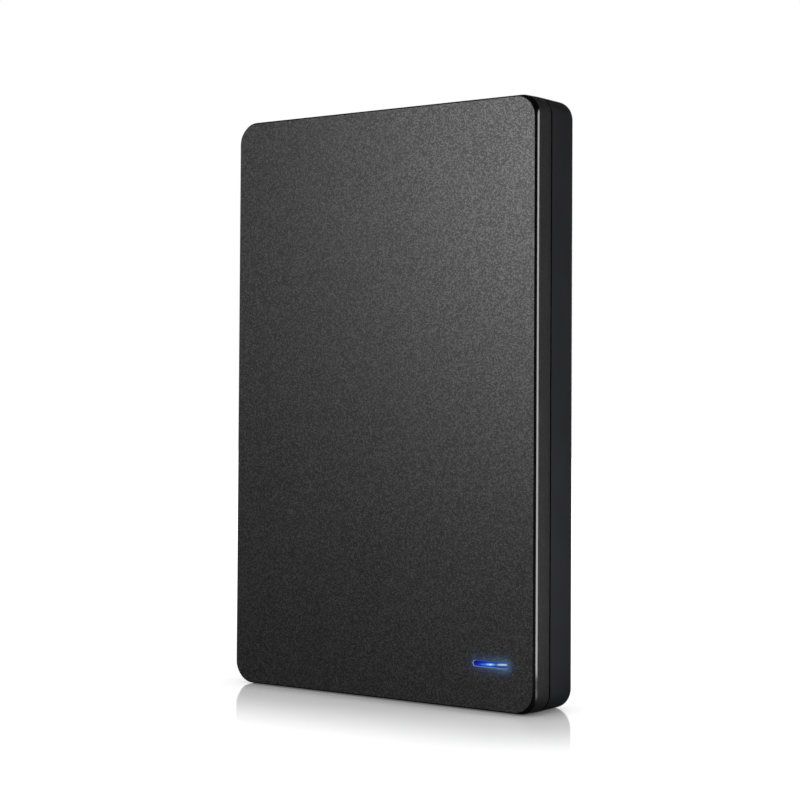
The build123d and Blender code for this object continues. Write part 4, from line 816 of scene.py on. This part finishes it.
# %% [markdown]
# ## Lamps
# Black plastic shows its lamps more than its colour. A large soft box in front, high and to the left,
# makes the grey that fades down the face. A tall strip behind on the right draws the bright line along
# the rim. A wide box overhead lights the table, and it is kept out of reflections so that it draws no
# line on the top edge. A weak box far behind keeps the back from going black. A picture of a studio could
# light it all at once, but its lamps could not be moved one by one. In the table each lamp has its place,
# its target and its size in millimetres, and its power in watts.

# %% Lamps


def add_lamp(name, place, target, size, power):
    """A flat lamp at a place, facing a target."""
    light = bpy.data.lights.new(name, "AREA")
    light.shape = "RECTANGLE"
    light.size = size[0] * MM
    light.size_y = size[1] * MM
    light.energy = power
    lamp = bpy.data.objects.new(name, light)
    lamp.location = Vector(place) * MM
    aim = (Vector(target) - Vector(place)).to_track_quat("-Z", "Y")
    lamp.rotation_euler = aim.to_euler()
    bpy.context.scene.collection.objects.link(lamp)
    return lamp


LAMPS = {
    "soft_box": ((-170, -554, 215), (0, 0, 60), (250, 250), 1.70),
    "rim_strip": ((127.5, 30.9, 95), (46.7, -2.7, 143.5), (16, 216), 0.095),
    "top_box": ((0, 20, 620), (0, 0, 0), (500, 500), 2.0),
    "back_box": ((-60, 600, 160), (0, 0, 60), (280, 280), 0.65),
}
lamps = {name: add_lamp(name, *row) for name, row in LAMPS.items()}
lamps["top_box"].visible_glossy = False
print("lamps:", sorted(lamps))

# %% [markdown]
# ## White studio
# The picture has no visible room: white behind, white floor, a soft reflection below the drive. A white
# world alone would also fill every reflection and turn the black plastic grey. So rays from the camera
# see a white world, and the other rays see a dim room. Only a wide low screen, behind the drive and to its
# left, is white for them too, because the polished floor mirrors it.

# %% World
WHITE = (1, 1, 1, 1)
ROOM_LEVEL = 0.03
SCREEN_DIRECTION = (-0.819, 0.574, 0)
SCREEN_SIDES = (0.56, 0.74)
SCREEN_TOP = (0.30, 0.20)


def mix_shaders(tree, factor, first, second):
    """A shader that turns from the first into the second as the factor socket runs from 0 to 1."""
    node = add_node(tree, "ShaderNodeMixShader")
    for place, source in enumerate((factor, first, second)):
        join(tree, source, node.inputs[place])
    return node.outputs[0]


def make_world():
    """White for the camera, a dim room for other rays, and a low white screen that the floor mirrors.

    The screen lies where a direction d agrees with the screen's own, so that d . screen is large, and
    where d points low.
    """
    world = bpy.data.worlds.new("studio")
    world.use_nodes = True
    tree = world.node_tree
    tree.nodes.clear()
    direction = add_node(tree, "ShaderNodeTexCoord").outputs["Generated"]
    agreement = calculate_vector(tree, "DOT_PRODUCT", direction, SCREEN_DIRECTION, output="Value")
    wide = map_range(tree, agreement, *SCREEN_SIDES, smooth=True)
    low = map_range(tree, split_vector(tree, direction)["Z"], *SCREEN_TOP, smooth=True)
    room = add_node(tree, "ShaderNodeBackground", {"Color": WHITE})
    strength = map_range(tree, calculate(tree, "MULTIPLY", wide, low), 0, 1, ROOM_LEVEL, 1)
    join(tree, strength, room.inputs["Strength"])
    white = add_node(tree, "ShaderNodeBackground", {"Color": WHITE, "Strength": 1.0})
    by_camera = add_node(tree, "ShaderNodeLightPath").outputs["Is Camera Ray"]
    seen = mix_shaders(tree, by_camera, room.outputs[0], white.outputs[0])
    join(tree, seen, add_node(tree, "ShaderNodeOutputWorld").inputs["Surface"])
    return world


bpy.context.scene.world = make_world()
print("world:", bpy.context.scene.world.name)

# %% [markdown]
# ## Floor
# Close to the drive the floor is a polished white table. It takes a shadow from the lamps, and shows a
# mirror image that is stronger at a grazing look, as on any polish, and fades with the distance. Where the
# drive meets it, its white emission is made darker by an occlusion node: a painted contact shadow. Further
# out it turns into plain white, so that no horizon shows. A white table would also light the black case
# from below. So rays that don't come from the camera meet a dim table, which mirrors only to the right of
# the drive, where the rim sees the foot of the strip light.

# %% Distance from the case
FOOT_HALF = (HALF_WIDTH, THICKNESS / 2, 0)


def foot_distance(tree, place):
    """Distance on the floor from the rectangle that the case covers.

    It is the length of max(|place| - half size, 0), taken part by part.
    """
    outside = calculate_vector(tree, "SUBTRACT", calculate_vector(tree, "ABSOLUTE", place), FOOT_HALF)
    return calculate_vector(tree, "LENGTH", calculate_vector(tree, "MAXIMUM", outside), output="Value")


# %% Floor material
TABLE_WHITE = (0.95, 0.95, 0.95, 1)
TABLE_DIM = (0.08, 0.08, 0.08, 1)
TABLE_REACH = 260 * MM
TABLE_SHARE = 0.45
TABLE_IOR = 1.5
MIRROR_REACH = 52 * MM
MIRROR_SHARE = 1.32
MIRROR_ROUGH = 0.08
MIRROR_SIDE = (HALF_WIDTH, 1.2 * HALF_WIDTH)
CONTACT_REACH = 7 * MM
CONTACT_SHADE_LEVELS = (0.35, 1.45)
CONTACT_SAMPLES = 16


def make_floor_material():
    """White table: lamp shadow, painted contact shadow and mirror near the drive, plain white further out,
    dim for other rays.
    """
    material = bpy.data.materials.new("white_table")
    material.use_nodes = True
    tree = material.node_tree
    tree.nodes.clear()
    place = add_node(tree, "ShaderNodeTexCoord").outputs["Object"]
    away = foot_distance(tree, place)
    near = map_range(tree, away, 0, MIRROR_REACH, MIRROR_SHARE, 0, smooth=True)
    grazing = add_node(tree, "ShaderNodeFresnel", {"IOR": TABLE_IOR}).outputs[0]
    share = calculate(tree, "MULTIPLY", near, grazing, clamp=True)
    beside = map_range(tree, split_vector(tree, place)["X"], *MIRROR_SIDE)
    dim_share = calculate(tree, "MULTIPLY", share, beside)
    shading = map_range(tree, away, 0, TABLE_REACH, TABLE_SHARE, 0, smooth=True)
    contact = add_node(tree, "ShaderNodeAmbientOcclusion", {"Distance": CONTACT_REACH},
                       samples=CONTACT_SAMPLES).outputs["AO"]
    # The white emission is painted darker where the occlusion node finds the drive close by: a painted
    # contact shadow.
    plain = add_node(tree, "ShaderNodeEmission", {"Color": WHITE})
    join(tree, map_range(tree, contact, 0, 1, *CONTACT_SHADE_LEVELS), plain.inputs["Strength"])
    matt = add_node(tree, "ShaderNodeBsdfDiffuse", {"Color": TABLE_WHITE}).outputs[0]
    dim = add_node(tree, "ShaderNodeBsdfDiffuse", {"Color": TABLE_DIM}).outputs[0]
    mirror = add_node(tree, "ShaderNodeBsdfGlossy", {"Color": WHITE, "Roughness": MIRROR_ROUGH}).outputs[0]
    polished = mix_shaders(tree, share, mix_shaders(tree, shading, plain.outputs[0], matt), mirror)
    dim_polished = mix_shaders(tree, dim_share, dim, mirror)
    by_camera = add_node(tree, "ShaderNodeLightPath").outputs["Is Camera Ray"]
    seen = mix_shaders(tree, by_camera, dim_polished, polished)
    join(tree, seen, add_node(tree, "ShaderNodeOutputMaterial").inputs["Surface"])
    return material


# %% Floor
FLOOR_HALF = 1.5
floor_mesh = bpy.data.meshes.new("floor")
floor_mesh.from_pydata([(-FLOOR_HALF, -FLOOR_HALF, 0), (FLOOR_HALF, -FLOOR_HALF, 0),
                        (FLOOR_HALF, FLOOR_HALF, 0), (-FLOOR_HALF, FLOOR_HALF, 0)], [], [(0, 1, 2, 3)])
floor = bpy.data.objects.new("floor", floor_mesh)
bpy.context.scene.collection.objects.link(floor)
floor.data.materials.append(make_floor_material())
print("floor:", 2 * FLOOR_HALF, "m wide")

# %% [markdown]
# ## Camera
# The drive is seen from the front right at half its height, from about four tenths of a metre. A Track To
# constraint could aim the camera, but it can't roll it. So the camera's axes are built from three turns
# and written straight into its matrix.

# %% Camera
CAMERA_PLACE = Vector((229.48, -316.41, 59.93)) * MM
CAMERA_YAW = np.radians(35.903)
CAMERA_PITCH = np.radians(1.518)
CAMERA_ROLL = np.radians(0.336)
CAMERA_LENS = 85.28
CAMERA_SHIFT = -0.0592
NEAREST_SEEN = 10 * MM


def camera_axes(yaw, pitch, roll):
    """Right, up and back directions of a camera turned by yaw, then tilted by pitch, then rolled."""
    forward = Vector((-np.sin(yaw) * np.cos(pitch), np.cos(yaw) * np.cos(pitch), np.sin(pitch)))
    right = Vector((np.cos(yaw), np.sin(yaw), 0))
    up = right.cross(forward)
    rolled_right = right * np.cos(roll) + up * np.sin(roll)
    rolled_up = up * np.cos(roll) - right * np.sin(roll)
    return rolled_right, rolled_up, -forward


camera = bpy.data.objects.new("camera", bpy.data.cameras.new("camera"))
bpy.context.scene.collection.objects.link(camera)
camera.data.lens = CAMERA_LENS
camera.data.shift_y = CAMERA_SHIFT
camera.data.clip_start = NEAREST_SEEN
axes = Matrix(camera_axes(CAMERA_YAW, CAMERA_PITCH, CAMERA_ROLL)).transposed().to_4x4()
camera.matrix_world = Matrix.Translation(CAMERA_PLACE) @ axes
bpy.context.scene.camera = camera
bpy.context.scene.view_settings.view_transform = "Standard"
print("camera:", round(CAMERA_PLACE.length, 3), "m from the foot of the drive, lens", CAMERA_LENS, "mm")

# %% [markdown]
# The dressed drive must fill the same box as the solids. At the end the scene is brought up to date.

# %% Finish
bpy.context.view_layer.update()
